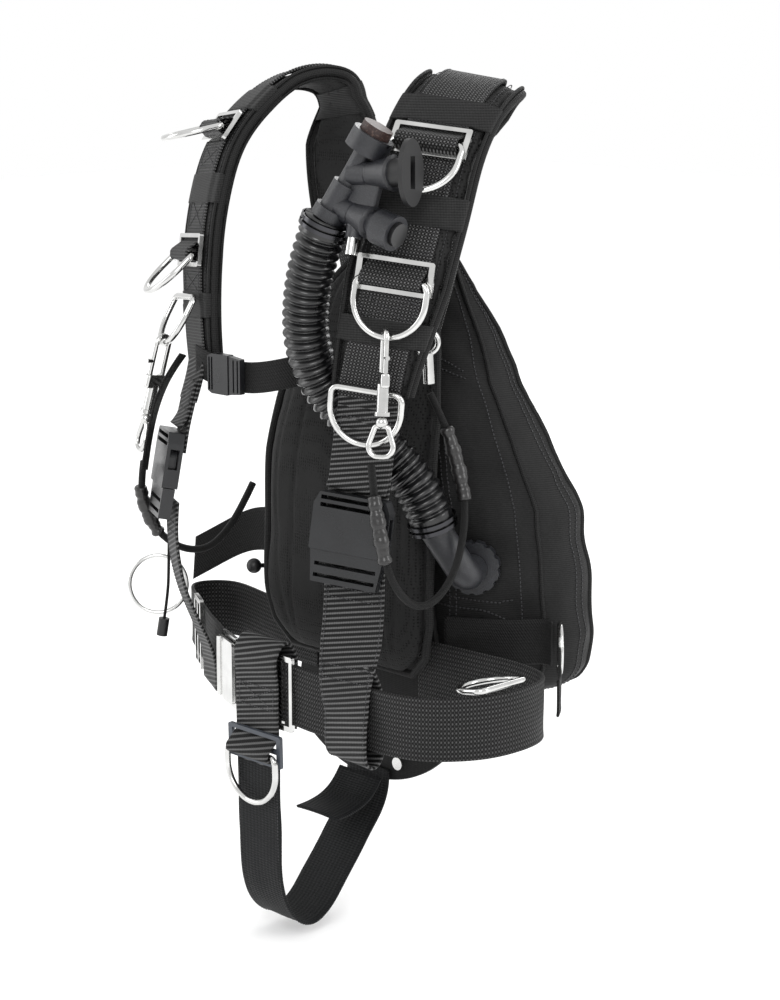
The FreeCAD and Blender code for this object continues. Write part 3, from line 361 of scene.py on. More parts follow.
# ---------------------------------------------------------------- materials
class Shader:
    """A node material under construction."""

    def __init__(self, name, rough, metallic=0.0, spec=0.5, sheen=0.0):
        self.material = bpy.data.materials.new(name)
        self.material.use_nodes = True
        self.tree = self.material.node_tree
        self.bsdf = self.tree.nodes["Principled BSDF"]
        self.bsdf.inputs["Roughness"].default_value = rough
        self.bsdf.inputs["Metallic"].default_value = metallic
        self.bsdf.inputs["Specular IOR Level"].default_value = spec
        self.bsdf.inputs["Sheen Weight"].default_value = sheen
        self.bsdf.inputs["Sheen Roughness"].default_value = 0.45

    def node(self, kind, ins=(), out=0, **props):
        """Adds a node; ins maps an input name or index to a value or a socket."""
        made = self.tree.nodes.new(kind)
        for key, value in props.items():
            setattr(made, key, value)
        for key, value in dict(ins).items():
            if isinstance(value, bpy.types.NodeSocket):
                self.tree.links.new(value, made.inputs[key])
            else:
                made.inputs[key].default_value = value
        return made.outputs[out]

    def math(self, operation, a, b=0.0):
        """Arithmetic on two sockets or numbers."""
        return self.node("ShaderNodeMath", {0: a, 1: b}, operation=operation)

    def uv(self, scale):
        """UV coordinates in metres times scale, as three sockets."""
        coords = self.node("ShaderNodeTexCoord", out="UV")
        return self.split(coords, scale)

    def space(self, scale):
        """Object coordinates in metres times scale, as three sockets."""
        coords = self.node("ShaderNodeTexCoord", out="Object")
        return self.split(coords, scale)

    def split(self, coords, scale):
        scaled = self.node("ShaderNodeVectorMath", {0: coords, 1: (scale, scale, scale)},
                           operation="MULTIPLY")
        parts = self.tree.nodes.new("ShaderNodeSeparateXYZ")
        self.tree.links.new(scaled, parts.inputs[0])
        return parts.outputs[0], parts.outputs[1], parts.outputs[2]

    def wave(self, value, pitch):
        """0 to 1 sine of a coordinate with a given pitch."""
        angle = self.math("MULTIPLY", value, 2 * math.pi / pitch)
        return self.node("ShaderNodeMath", {0: self.math("SINE", angle), 1: 0.5, 2: 0.5},
                         operation="MULTIPLY_ADD")

    def noise(self, scale, detail=2.0, vector=None, rough=0.5):
        coords = vector or self.node("ShaderNodeTexCoord", out="Object")
        return self.node("ShaderNodeTexNoise", {"Vector": coords, "Scale": scale, "Detail": detail,
                                                "Roughness": rough}, out="Fac")

    def ramp(self, value, stops):
        """Colours at positions along a value."""
        made = self.tree.nodes.new("ShaderNodeValToRGB")
        self.tree.links.new(value, made.inputs[0])
        ramp = made.color_ramp
        while len(ramp.elements) < len(stops):
            ramp.elements.new(0.5)
        for element, (at, colour) in zip(ramp.elements, stops):
            element.position = at
            element.color = (*colour, 1) if len(colour) == 3 else colour
        return made.outputs[0]

    def mix(self, factor, a, b):
        """Colour blend."""
        made = self.tree.nodes.new("ShaderNodeMix")
        made.data_type = "RGBA"
        for key, value in ((0, factor), (6, a), (7, b)):
            if isinstance(value, bpy.types.NodeSocket):
                self.tree.links.new(value, made.inputs[key])
            else:
                made.inputs[key].default_value = value if key == 0 else (*value, 1)
        return made.outputs[2]

    def finish(self, colour=None, height=None, bump=0.3, depth=1.0, rough=None):
        """Links colour, height and roughness; depth is the bump's distance in millimetres."""
        if colour is not None:
            self.tree.links.new(colour, self.bsdf.inputs["Base Color"])
        if rough is not None:
            self.tree.links.new(rough, self.bsdf.inputs["Roughness"])
        if height is not None:
            normal = self.node("ShaderNodeBump", {"Strength": bump, "Distance": depth * MM, "Height": height})
            self.tree.links.new(normal, self.bsdf.inputs["Normal"])
        return self.material


def grey(value, warm=0.0):
    """A near-neutral colour."""
    return (value * (1 + warm), value, value * (1 - warm))


def woven(name, dark, light, across, along, diagonal=0.0, rough=0.6, bump=0.9, depth=0.5, basket=0.0,
          warm=0.0,
          sharp=0.0, crowns=0.35):
    """Webbing: rows of yarn crowns from the strap's UVs, in metres; pitches in millimetres. Colour is painted
    from the same height: light on the crowns as a painted highlight, dark in the hollows as painted shade.
    """
    s = Shader(name, rough, spec=0.2, sheen=0.02)
    u, v, _ = s.uv(1000.0)
    slant = s.math("ADD", v, s.math("MULTIPLY", u, diagonal))
    ribs = s.wave(slant, along)
    columns = s.wave(u, across)
    if basket:
        shift = s.math("MULTIPLY", s.math("ROUND", columns), along / 2)
        ribs = s.wave(s.math("ADD", slant, shift), along)
    height = s.math("ADD", s.math("MULTIPLY", ribs, 1 - crowns), s.math("MULTIPLY", columns, crowns))
    fray = s.noise(900.0, 3.0)
    large = s.noise(14.0, 3.0)
    height = s.math("ADD", height, s.math("MULTIPLY", fray, 0.25))
    # painted shade and highlight: sharp raises the dark stop, so more of each hollow is painted in shade, and
    # the crowns are painted light as a highlight
    low = 0.15 + 0.38 * sharp
    colour = s.ramp(s.math("MULTIPLY", height, 0.8), [(low, grey(dark, warm)), (0.9, grey(light, warm))])
    colour = s.mix(s.math("MULTIPLY", large, 0.5), colour, grey(dark, warm))
    roughness = s.node("ShaderNodeMath", {0: fray, 1: 0.25, 2: rough - 0.1}, operation="MULTIPLY_ADD")
    return s.finish(colour, height, bump, depth, roughness)


def cloth(name, dark, light, pitch, rough=0.6, bump=0.6, depth=0.3, rib=1.0, sheen=0.02, wrinkle=0.3,
          warm=0.0):
    """Plain woven cloth from object coordinates, so it needs no UVs. Its colour mixes random fibre tone with
    a painted highlight on the weave's crests over dark hollows of painted shade.
    """
    s = Shader(name, rough, spec=0.18, sheen=sheen)
    x, y, z = s.space(1000.0)
    level = s.wave(z, pitch)
    upright = s.wave(s.math("ADD", x, s.math("MULTIPLY", y, 0.83)), pitch * rib)
    height = s.math("ADD", s.math("MULTIPLY", level, 0.5), s.math("MULTIPLY", upright, 0.5))
    fray = s.noise(700.0, 3.0)
    large = s.noise(9.0, 4.0)
    creases = s.noise(38.0, 4.0, rough=0.6)
    total = s.math("ADD", height, s.math("MULTIPLY", creases, wrinkle * 6))
    # colour: weave crests painted light as a painted highlight, hollows dark as painted shade, mixed with
    # random fibre tone
    colour = s.ramp(s.math("ADD", s.math("MULTIPLY", height, 0.6), s.math("MULTIPLY", fray, 0.4)),
                    [(0.2, grey(dark, warm)), (0.85, grey(light, warm))])
    colour = s.mix(s.math("MULTIPLY", large, 0.4), colour, grey(dark * 0.7, warm))
    return s.finish(colour, total, bump, depth)


def spacer(name, dark, light, cell):
    """Three-dimensional mesh: round holes in rows between yarns, the holes painted dark as painted shade and
    the yarns light as a painted highlight.
    """
    s = Shader(name, 0.75, spec=0.15, sheen=0.02)
    coords = s.node("ShaderNodeTexCoord", out="Object")
    cells = s.node("ShaderNodeTexVoronoi", {"Vector": coords, "Scale": 1000.0 / cell, "Randomness": 0.25},
                   out="Distance")
    fray = s.noise(1100.0, 2.0)
    large = s.noise(16.0, 3.0)
    # painted shade in the holes and painted highlight on the yarns between them
    edge = s.ramp(cells, [(0.12, (0, 0, 0)), (0.42, (1, 1, 1))])
    colour = s.mix(edge, grey(dark), grey(light))
    colour = s.mix(s.math("MULTIPLY", large, 0.45), colour, grey(dark))
    height = s.math("ADD", edge, s.math("MULTIPLY", fray, 0.3))
    return s.finish(colour, height, 0.8, 0.5)


def metal(name, colour, rough, scratch=0.12):
    """Polished steel with hairlines and smudges."""
    s = Shader(name, rough, metallic=1.0)
    coords = s.node("ShaderNodeTexCoord", out="Object")
    stretched = s.node("ShaderNodeVectorMath", {0: coords, 1: (1, 1, 14)}, operation="MULTIPLY")
    hair = s.noise(260.0, 3.0, stretched)
    smudge = s.noise(70.0, 3.0)
    tint = s.ramp(smudge, [(0.3, tuple(c * 0.82 for c in colour)), (0.7, colour)])
    roughness = s.node("ShaderNodeMath", {0: smudge, 1: scratch * 1.6, 2: rough - scratch * 0.6},
                       operation="MULTIPLY_ADD")
    return s.finish(tint, hair, 0.05, 0.1, roughness)


def moulded(name, base, rough, grain, bump=0.4, speck=0.0, coat=0.0, pale=None):
    """Moulded plastic or rubber with a fine grain, pale specks and paler worn patches."""
    s = Shader(name, rough, spec=0.5)
    s.bsdf.inputs["Coat Weight"].default_value = coat
    s.bsdf.inputs["Coat Roughness"].default_value = 0.15
    fine = s.noise(grain, 3.0)
    large = s.noise(30.0, 4.0, rough=0.6)
    pale = pale or grey(base[1] * 4 + 0.02)
    colour = s.ramp(large, [(0.3, tuple(c * 0.75 for c in base)), (0.8, tuple(c * 1.35 for c in base))])
    if speck:
        dots = s.noise(grain * 1.6, 1.0)
        colour = s.mix(s.math("MULTIPLY", s.math("GREATER_THAN", dots, 0.62), speck), colour, pale)
    roughness = s.node("ShaderNodeMath", {0: large, 1: 0.22, 2: rough - 0.11}, operation="MULTIPLY_ADD")
    return s.finish(colour, fine, bump, 0.25, roughness)


def braid(name, dark, light, pitch):
    """Braided elastic cord: two sets of crossing strands round it, their crests painted light as a painted
    highlight and the gaps dark as painted shade.
    """
    s = Shader(name, 0.6, spec=0.2, sheen=0.02)
    u, v, _ = s.uv(1.0)
    one = s.wave(s.math("ADD", s.math("MULTIPLY", u, 1.0), s.math("MULTIPLY", v, 1.0)), pitch)
    two = s.wave(s.math("SUBTRACT", s.math("MULTIPLY", u, 1.0), s.math("MULTIPLY", v, 1.0)), pitch)
    height = s.math("MULTIPLY", one, two)
    # painted highlight on the strand crests, painted shade in the gaps
    colour = s.ramp(height, [(0.1, grey(dark)), (0.7, grey(light))])
    return s.finish(colour, height, 0.7, 0.4)


# Fabrics: the first colour is the dark of the hollows, painted shade on black yarn; the second is the painted
# highlight on the yarn crests.
webbing = woven("webbing", 0.0015, 0.150, 1.9, 3.9, diagonal=0.24, sharp=0.8, crowns=0.15)
flat_web = woven("webbing_shoulder", 0.0015, 0.170, 2.8, 2.5, basket=1.0, sharp=1.0)
belt_web = woven("belt_webbing", 0.0015, 0.085, 3.6, 2.7, basket=1.0, bump=1.0, depth=0.8, sharp=0.9)
thin_web = woven("webbing_thin", 0.002, 0.014, 2.6, 2.0, diagonal=0.6, sharp=0.3)
dark_web = woven("webbing_dark", 0.002, 0.010, 4.0, 2.2, sharp=0.3, warm=-0.12)
binding = woven("binding_tape", 0.003, 0.022, 1.8, 1.5, rough=0.62)
cordura = cloth("cordura", 0.0015, 0.012, 1.6, wrinkle=0.25)
knit = cloth("elastic_knit", 0.003, 0.045, 2.4, wrinkle=0.3, rib=0.8, bump=0.9)
wing_cloth = cloth("wing_cloth", 0.0012, 0.026, 1.6, rough=0.55, rib=0.7, wrinkle=0.9)
mesh_cloth = spacer("mesh", 0.0012, 0.024, 2.6)
band_cloth = cloth("band_cloth", 0.002, 0.034, 1.9, wrinkle=0.4, rib=0.8, bump=0.8)
steel = metal("stainless", (0.66, 0.66, 0.65), 0.14)
black_steel = metal("black_clamp", (0.06, 0.06, 0.065), 0.2)
casing_mat = moulded("casing", (0.012, 0.0125, 0.015), 0.34, 1500.0, bump=0.9, speck=0.35,
                     pale=(0.10, 0.105, 0.12))
buckle_mat = moulded("buckle_plastic", (0.007, 0.0075, 0.0085), 0.3, 1500.0, bump=0.5, speck=0.2,
                     pale=(0.05, 0.052, 0.06))
slider_mat = moulded("slider_plastic", (0.045, 0.052, 0.065), 0.42, 1200.0, bump=0.25)
button_mat = moulded("button_worn", (0.022, 0.008, 0.006), 0.5, 420.0, speck=0.35, pale=(0.16, 0.10, 0.08))
soft_rubber = moulded("soft_rubber", (0.004, 0.004, 0.0045), 0.45, 1500.0, bump=0.2)
hose_mat = moulded("hose_rubber", (0.0025, 0.0025, 0.003), 0.30, 700.0, bump=0.15, coat=0.25)
band_mat = moulded("hose_band", (0.006, 0.008, 0.012), 0.26, 900.0, bump=0.1, coat=0.3)
# cord colours: painted shade in the braid's gaps, painted highlight on its strand crests
cord_mat = braid("cord", 0.002, 0.020, 0.004)
sleeve_mat = moulded("sleeve", (0.007, 0.0065, 0.0065), 0.34, 500.0, bump=0.5, coat=0.2)
thread = moulded("thread", (0.020, 0.020, 0.022), 0.5, 2500.0, bump=0.3)


def dress(obj, material, body="harness", stands_for=()):
    """Gives a piece its material, slot and body, and hides the CAD nodes that it stands for."""
    obj.data.materials.clear()
    obj.data.materials.append(material)
    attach(obj, body)
    if stands_for:
        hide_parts(*stands_for)
    return obj


# ---------------------------------------------------------------- shoulder straps
BACK_SIDE, TOP_SIDE, FRONT_SIDE = (0.97, -0.05, -0.1), (0.9, 0.38, -0.15), (0.906, 0.423, -0.1)
SHOULDER_POINTS = [(50, 4, -107), (51, 2, -80), (55, 6, -45), (64, 16, -12), (78, 16, 8), (93, 1, 14),
                   (104, -25, 8), (111, -52, -10), (118, -78, -40), (120, -94, -78), (117, -106, -118),
                   (111, -114, -158), (104, -119, -193), (98, -121, -223)]
SHOULDER_SIDES = [BACK_SIDE] * 3 + [TOP_SIDE] * 3 + [(0.9, 0.42, -0.15),
                                                     (0.91, 0.42, -0.12)] + [FRONT_SIDE] * 6
PAD_WIDTH, PAD_THICK, WEB, WEB_THICK = 80.0, 12.0, 50.0, 2.4
shoulder = Course(SHOULDER_POINTS, SHOULDER_SIDES)
front_start = shoulder.at_height(0.0, shoulder.length * 0.4)
upper_at = shoulder.at_height(-32.0, front_start)
lower_at = shoulder.at_height(-128.0, front_start)
BUMP = [(-9.8, 0.0), (-9.3, 8.0), (-7.4, 12.0), (-6.0, 12.6), (-1.6, 12.6), (0.4, 11.2), (4.0, 6.8),
        (9.7, 0.0)]


def over_slide(along, slide_at):
    """Height of webbing above the strap where it climbs over a slide's bar, in metres."""
    back_up = (slide_at - along) / MM
    return float(np.interp(back_up, [b[0] for b in BUMP], [b[1] for b in BUMP], left=0, right=0)) * MM


def pad_half(share):
    """Half width of a shoulder pad at a share of its length, in metres."""
    width = PAD_WIDTH * (0.8 + share) if share < 0.2 else PAD_WIDTH
    if share > 0.8:
        width = PAD_WIDTH * (1.0 - (share - 0.8) * 1.1)
    return width / 2 * MM


def pad_edge(sign, height, inset=0.0, start=0.0, end=1.0, count=120):
    """Line along a pad's edge with its outward normals, in metres."""
    share = np.linspace(start, end, count)
    p, across, back, out = shoulder.frame(share * (shoulder.length - 6 * MM))
    half = np.array([pad_half(k) for k in share]) - inset * MM
    return p + across * (sign * half)[:, None] + out * height * MM, out, across * sign


def shoulder_pad(hand):
    """Foam pad with crowned faces, swelled by simulation, then sewn channels beside the webbing."""
    share = np.linspace(0, 1, 90)
    p, across, back, out = shoulder.frame(0.002 + share * (shoulder.length - 10 * MM))
    rings = []
    for i, k in enumerate(share):
        half = pad_half(k) - 2.2 * MM
        low, high = -(PAD_THICK - 1.6) * MM, -1.4 * MM
        ring = []
        for x in np.linspace(-1, 1, 13):
            ring.append((x * half, high - 1.0 * MM * abs(x) ** 5))
        for x in np.linspace(1, -1, 13):
            ring.append((x * half, low + 1.6 * MM * abs(x) ** 4))
        rings.append([p[i] + across[i] * x + out[i] * h for x, h in ring])
    pad = loft(f"shoulder_pad_{hand}_cover", rings)
    puff(pad, voxel=4.2, pressure=5.0, cap=1.6, relax=3)
    centre, line_across, line_back, line_out = shoulder.frame(np.linspace(0, shoulder.length, 300))

    def sewn(co, no):
        i = int(np.argmin(np.sum((centre - np.array(co)) ** 2, axis=1)))
        offset = np.array(co) - centre[i]
        x = abs(float(np.dot(offset, line_across[i]))) / MM
        front = float(np.dot(no, line_out[i]))
        if abs(front) < 0.5:
            return 0.0
        groove = math.exp(-((x - 29.5) / 1.3) ** 2) * 1.1
        quilt = 0.35 * noise.noise(Vector(co) * 60)
        return -(groove - quilt) * MM
    dent(pad, sewn)
    return pad


def flip(obj):
    """Mirrors a mesh to the wearer's right."""
    co = points_of(obj)
    co[:, 0] *= -1
    set_points(obj, co)
    obj.data.flip_normals()
    return obj


def copy_flipped(obj, name):
    """Second mesh, mirrored, of a left-hand piece."""
    twin = bpy.data.objects.new(name, obj.data.copy())
    bpy.context.scene.collection.objects.link(twin)
    return flip(twin)


def wrap_band(name, at, length, tight=0.6, thick=1.7):
    """Elastic or webbing band round pad and webbing together, at a distance along the strap."""
    course = shoulder
    along = np.linspace(at - length / 2 * MM, at + length / 2 * MM, max(5, int(length / 2.5)))
    rings = []
    for s in along:
        p, across, back, out = (v[0] for v in course.frame(s))
        half = pad_half(s / (shoulder.length - 6 * MM)) / MM + tight
        low, high = -(PAD_THICK + tight), WEB_THICK + 0.4 + tight
        ring = []
        for a in np.linspace(0, 2 * math.pi, 48, endpoint=False):
            c, d = math.cos(a), math.sin(a)
            x = half * math.copysign(abs(c) ** 0.28, c)
            h = (high + low) / 2 + (high - low) / 2 * math.copysign(abs(d) ** 0.4, d)
            if h > 0:
                h = h if abs(x) < WEB / 2 + 3 else h * 0.55
            ring.append((x, h))
        rings.append((p, across, out, ring))
    outer = [[p + across * x * MM + out * h * MM for x, h in ring] for p, across, out, ring in rings]
    inner = [[p + across * (x - math.copysign(min(thick, abs(x)), x)) * MM
              + out * (h - math.copysign(thick, h)) * MM for x, h in ring] for p, across, out, ring in rings]
    full = outer + inner[::-1] + outer[:1]
    obj = loft(name, full, cap=False)
    return obj


def piping(name, line, radius):
    """Rounded binding roll along an edge."""
    return tube(name, line, radius * MM, sides=10)


pad = shoulder_pad("left")
webbing_base = 0.4
web = strap("shoulder_webbing_left_strap", shoulder, 10 * MM, shoulder.length, WEB, webbing_base, WEB_THICK,
            lift=lambda s: max(over_slide(s, upper_at), over_slide(s, lower_at)), step=2.0, wave=0.2)
edges = []
for sign in (1, -1):
    line, out, sideways = pad_edge(sign, -PAD_THICK / 2, inset=0.6)
    edges.append(piping("edge", line, 3.2))
    line, out, sideways = pad_edge(sign, -1.3, inset=1.4)
    edges.append(piping("edge", line, 1.5))
    line, out, sideways = pad_edge(sign, -PAD_THICK + 1.3, inset=1.4)
    edges.append(piping("edge", line, 1.5))
trim = merge("shoulder_binding_left", edges)
bands = merge("shoulder_bands_left", [wrap_band("band", front_start + 16 * MM, 26),
                                      wrap_band("band", front_start - 92 * MM, 30),
                                      wrap_band("band", upper_at + 52 * MM, 24),
                                      wrap_band("band", lower_at + 44 * MM, 20)])
seams = []
for sign in (1, -1):
    p, across, back, out = shoulder.frame(np.linspace(14 * MM, shoulder.length - 4 * MM, 260))
    lift = np.array([max(over_slide(s, upper_at), over_slide(s, lower_at)) for s in
                     np.linspace(14 * MM, shoulder.length - 4 * MM, 260)])
    seams.append((p + across * sign * 22.4 * MM + out * (lift + (0.4 + WEB_THICK) * MM)[:, None], out))
    line, normals, sideways = pad_edge(sign, -0.8, inset=10.6, start=0.02, end=0.985, count=200)
    seams.append((line, normals))
for at in (upper_at, lower_at):
    seams += strap_stitch_box(shoulder, at - 42 * MM, at - 18 * MM, 40, 0.4 + WEB_THICK)
    seams += strap_stitch_box(shoulder, at + 18 * MM, at + 34 * MM, 40, 0.4 + WEB_THICK)
thread_left = stitches("shoulder_stitching_left", seams)
YOKE_POINTS = [(51, 3.5, -92), (50, 4, -108), (45, 4, -128), (38, 3, -152), (32, -3, -186)]
yoke_course = Course(YOKE_POINTS, [BACK_SIDE] * 2 + [(0.97, 0.1, -0.2), (0.95, 0.1, -0.28),
                                                     (0.96, 0.05, -0.25)])
web = merge("shoulder_webbing_left_strap",
            [web, strap("yoke", yoke_course, 0, yoke_course.length, WEB, -3.2, WEB_THICK + 1.2, wave=0.3)])
for hand in ("left", "right"):
    if hand == "right":
        pad, web, trim, bands, thread_left = (
            copy_flipped(pad, "shoulder_pad_right_cover"), copy_flipped(web, "shoulder_webbing_right_strap"),
            copy_flipped(trim, "shoulder_binding_right"), copy_flipped(bands, "shoulder_bands_right"),
            copy_flipped(thread_left, "shoulder_stitching_right"))
    dress(pad, mesh_cloth, stands_for=[f"shoulder_pad_{hand}"])
    dress(web, flat_web, stands_for=[f"shoulder_webbing_{hand}"])
    dress(trim, binding)
    dress(bands, band_cloth)
    dress(thread_left, thread)

# ---------------------------------------------------------------- drop straps
LEFT_DROP = [(97, -119, -230), (94, -122, -262), (93, -130, -330), (99, -141, -410), (105, -153, -444),
             (107, -154, -468), (107, -154, -492), (107, -151, -500), (107, -145, -502), (107, -139.5, -497),
             (107, -138, -486), (107, -137.5, -462), (106, -140, -440), (103, -145, -426)]
RIGHT_DROP = [(-98, -126, -232), (-95, -138, -258), (-93, -150, -300), (-92, -157, -345), (-92, -148, -400),
              (-94, -128, -440), (-95, -117, -470), (-95, -116, -490)]
drops = {
    "left": Course(LEFT_DROP, [FRONT_SIDE] * 4 + [(0.98, 0.1, 0.0)] + [(1.0, -0.08, 0.0)] * 9),
    "right": Course(RIGHT_DROP, [(0.85, -0.52, 0.08)] * 5 + [(0.88, -0.47, 0.0)] * 3),
}
LINKS = {
    "left": Course([(99.5, -118.5, -208), (98, -120, -222), (97, -120, -233), (95, -122.5, -247)],
                   [FRONT_SIDE] * 4),
    "right": Course([(-99, -119, -206), (-98, -122.5, -220), (-98, -126.5, -233), (-96, -134, -247)],
                    [(0.89, -0.45, 0.08)] * 4),
}
FEMALE_HEIGHT, MALE_HEIGHT = 45.0, 25.0
for hand, course in drops.items():
    middle = course.at_height({"left": -319.0, "right": -292.0}[hand])
    female_top = middle - FEMALE_HEIGHT / 2 * MM
    male_foot = middle + (FEMALE_HEIGHT / 2 + MALE_HEIGHT) * MM
    upper = strap(f"drop_upper_{hand}", course, 0, female_top + 16 * MM, WEB, 0, WEB_THICK, wave=0.4)
    fold = strap(f"drop_fold_{hand}", course, 0, female_top - 3 * MM, WEB - 1, WEB_THICK + 0.2, 2.0, wave=0.5,
                 lift=lambda s, top=female_top: 6.5 * MM * max(0.0, 1 - (top - s) / (14 * MM)) ** 1.5)
    lower = strap(f"drop_lower_{hand}", course, male_foot - 14 * MM, course.length, WEB, 0, WEB_THICK,
                  wave=0.6)
    link = strap(f"drop_link_{hand}", LINKS[hand], 0, LINKS[hand].length, WEB - 1, 0.2, 3.4, wave=0.3)
    dress(merge(f"drop_strap_{hand}_webbing", [upper, fold, lower, link]), webbing,
          stands_for=[f"drop_strap_{hand}"])
    lines = strap_stitch_box(course, 8 * MM, 24 * MM, 40, WEB_THICK + 2.3, False)
    lines += strap_stitch_box(course, male_foot + 4 * MM, male_foot + 12 * MM, 42, WEB_THICK, False)
    for sign in (1, -1):
        p, across, back, out = course.frame(np.linspace(male_foot, course.length * 0.8, 120))
        lines.append((p + across * sign * 22.6 * MM + out * WEB_THICK * MM, out))
    if hand == "left":
        belt_front = course.at_height(-440.0)
        lines += strap_stitch_box(course, belt_front - 12 * MM, belt_front - 2 * MM, 42, WEB_THICK, False)
    dress(stitches(f"drop_stitching_{hand}", lines), thread)

# ---------------------------------------------------------------- chest strap
CHEST_POINTS = [(-92, -129, -213), (-70, -135, -216), (-45, -135, -219), (-20, -134, -219), (2, -127, -215),
                (18, -112, -210), (33, -99, -206), (50, -95, -204), (66, -101, -203), (76, -110, -202)]
chest = Course(CHEST_POINTS)
CHEST_WIDTH, CHEST_THICK, CHEST_SCALE = 25.0, 1.8, 0.52
chest_buckle_at = chest.knots[1] + 20 * MM
chest_half = FEMALE_HEIGHT * CHEST_SCALE / 2 * MM
chest_foot = chest_buckle_at + chest_half + MALE_HEIGHT * CHEST_SCALE * MM
chest_parts = [strap("chest_near", chest, 0, chest_buckle_at - chest_half + 8 * MM, CHEST_WIDTH, 0,
                     CHEST_THICK, cols=7),
               strap("chest_far", chest, chest_foot - 7 * MM, chest.length, CHEST_WIDTH, 0, CHEST_THICK,
                     cols=7)]
CHEST_TAIL = [(-97, -139, -209), (-102, -153, -230), (-103, -164, -253), (-104, -171, -278),
              (-105, -175, -300)]
chest_tail = Course(CHEST_TAIL, [(0.6, -0.75, 0.2)] * len(CHEST_TAIL))
chest_parts.append(strap("chest_tail", chest_tail, 0, chest_tail.length, 20, 0, CHEST_THICK, cols=7,
                         wave=0.8))
dress(merge("chest_strap_webbing", chest_parts), thin_web, stands_for=["chest_strap"])

# ---------------------------------------------------------------- waist belt
BELT_POINTS = [(-60, -27.5, -463), (-110, -24, -463), (-160, -14, -463), (-196, -16, -463), (-207, -34, -463),
               (-188, -54, -463), (-152, -76, -463), (-120, -94, -463), (-85, -113, -463), (-52, -130, -463),
               (-26, -139, -464), (0, -141.5, -465), (26, -141.5, -466), (60, -141.5, -468), (96, -142.5,
                                                                                              -467),
               (132, -146, -465), (168, -145, -463), (198, -129, -461), (215, -100, -460), (217, -68, -460),
               (203, -38, -461), (168, -25, -462), (124, -24, -463), (90, -27, -463), (60, -27.5, -463)]
belt = Course(BELT_POINTS)
BELT_THICK = 2.8
belt_parts = [strap("belt_main", belt, 0, belt.length, WEB, 0, BELT_THICK, cols=13, wave=0.7)]
belt_parts.append(strap("belt_tail", belt, belt.knots[9] + 26 * MM, belt.knots[16], WEB - 1, -2.6, 2.3,
                        cols=13, wave=0.5))
dress(merge("waist_belt_webbing", belt_parts), belt_web, stands_for=["waist_belt"])

# ---------------------------------------------------------------- wing corner straps
CORNER_LEFT = [(84, -21, -434), (112, -9, -433), (140, 9, -432), (158, 24, -432), (184, 7, -442),
               (192, -2, -449),
               (202, -12, -455), (211, -25, -457)]
CORNER_RIGHT = [(-98, -30, -376), (-118, -28, -376), (-144, -30, -381), (-166, -45, -395), (-181, -61, -407)]
corner_left = Course(CORNER_LEFT)
corner_right = Course(CORNER_RIGHT, [(0, 0.1, 1)] * len(CORNER_RIGHT))
corner_parts = [strap("corner_a", corner_left, 0, corner_left.knots[3] + 3 * MM, 38, 0, WEB_THICK),
                strap("corner_b", corner_left, corner_left.knots[4], corner_left.length, 30, 0, WEB_THICK),
                strap("corner_c", corner_right, 0, corner_right.length, 38, 0, WEB_THICK)]
dress(merge("corner_strap_webbing", corner_parts), thin_web, stands_for=["corner_straps"])

# ---------------------------------------------------------------- crotch strap
CROTCH_POINTS = [(-132, -500), (-131, -455), (-132, -437), (-141, -428), (-150, -437), (-150, -455),
                 (-149.5, -480), (-149, -511), (-148.5, -548), (-148, -590), (-147, -618), (-143, -641),
                 (-133, -659), (-115, -670), (-98, -664), (-82, -648), (-65, -628), (-49, -609), (-36, -594),
                 (-29, -578), (-27.5, -560)]
TAIL_POINTS = [(-34, -566), (-46, -580), (-64, -588), (-86, -590)]
crotch = Course([(0, y, z) for y, z in CROTCH_POINTS], [(1, 0, 0)] * len(CROTCH_POINTS))
tail = Course([(0, y, z) for y, z in TAIL_POINTS], [(1, 0, 0)] * len(TAIL_POINTS))
crotch_slide_at = crotch.at_height(-514.0, crotch.knots[5])
crotch_web = strap("crotch_web", crotch, 0, crotch.length, WEB, 0, WEB_THICK, wave=0.8, step=2.0,
                   lift=lambda s: over_slide(s, crotch_slide_at))
tail_web = strap("tail_web", tail, 0, tail.length, WEB, 0, WEB_THICK, wave=0.8)
crotch_strap = dress(merge("crotch_strap_webbing", [crotch_web, tail_web]), webbing,
                     stands_for=["crotch_strap"])
crotch_strap.data.materials.append(dark_web)
for face in crotch_strap.data.polygons:
    face.material_index = int(face.center[2] < -0.531 or face.center[1] > -0.12 and face.center[2] < -0.53)
lines = strap_stitch_box(crotch, crotch.knots[6] - 16 * MM, crotch.knots[6] + 2 * MM, 40, WEB_THICK)
for sign in (1, -1):
    p, across, back, out = crotch.frame(np.linspace(crotch_slide_at + 22 * MM, crotch.length - 8 * MM, 260))
    lines.append((p + across * sign * 22.6 * MM + out * WEB_THICK * MM, out))
dress(stitches("crotch_stitching", lines), thread)

# ---------------------------------------------------------------- back pad
BACK_PAD_ROWS = [(30, -100, 25, 10), (9, -125, 40, 14), (-12, -155, 62, 20), (-30, -195, 78, 24),
                 (-46, -250, 92, 26), (-56, -300, 97, 26), (-58, -360, 97, 26), (-59, -420, 97, 26),
                 (-53, -450, 90, 21), (-45, -470, 70, 13)]
PAD_CENTRE = -5.0
pad_course = Course([(PAD_CENTRE, y, z) for y, z, half, thick in BACK_PAD_ROWS],
                    [(1, 0, 0)] * len(BACK_PAD_ROWS))


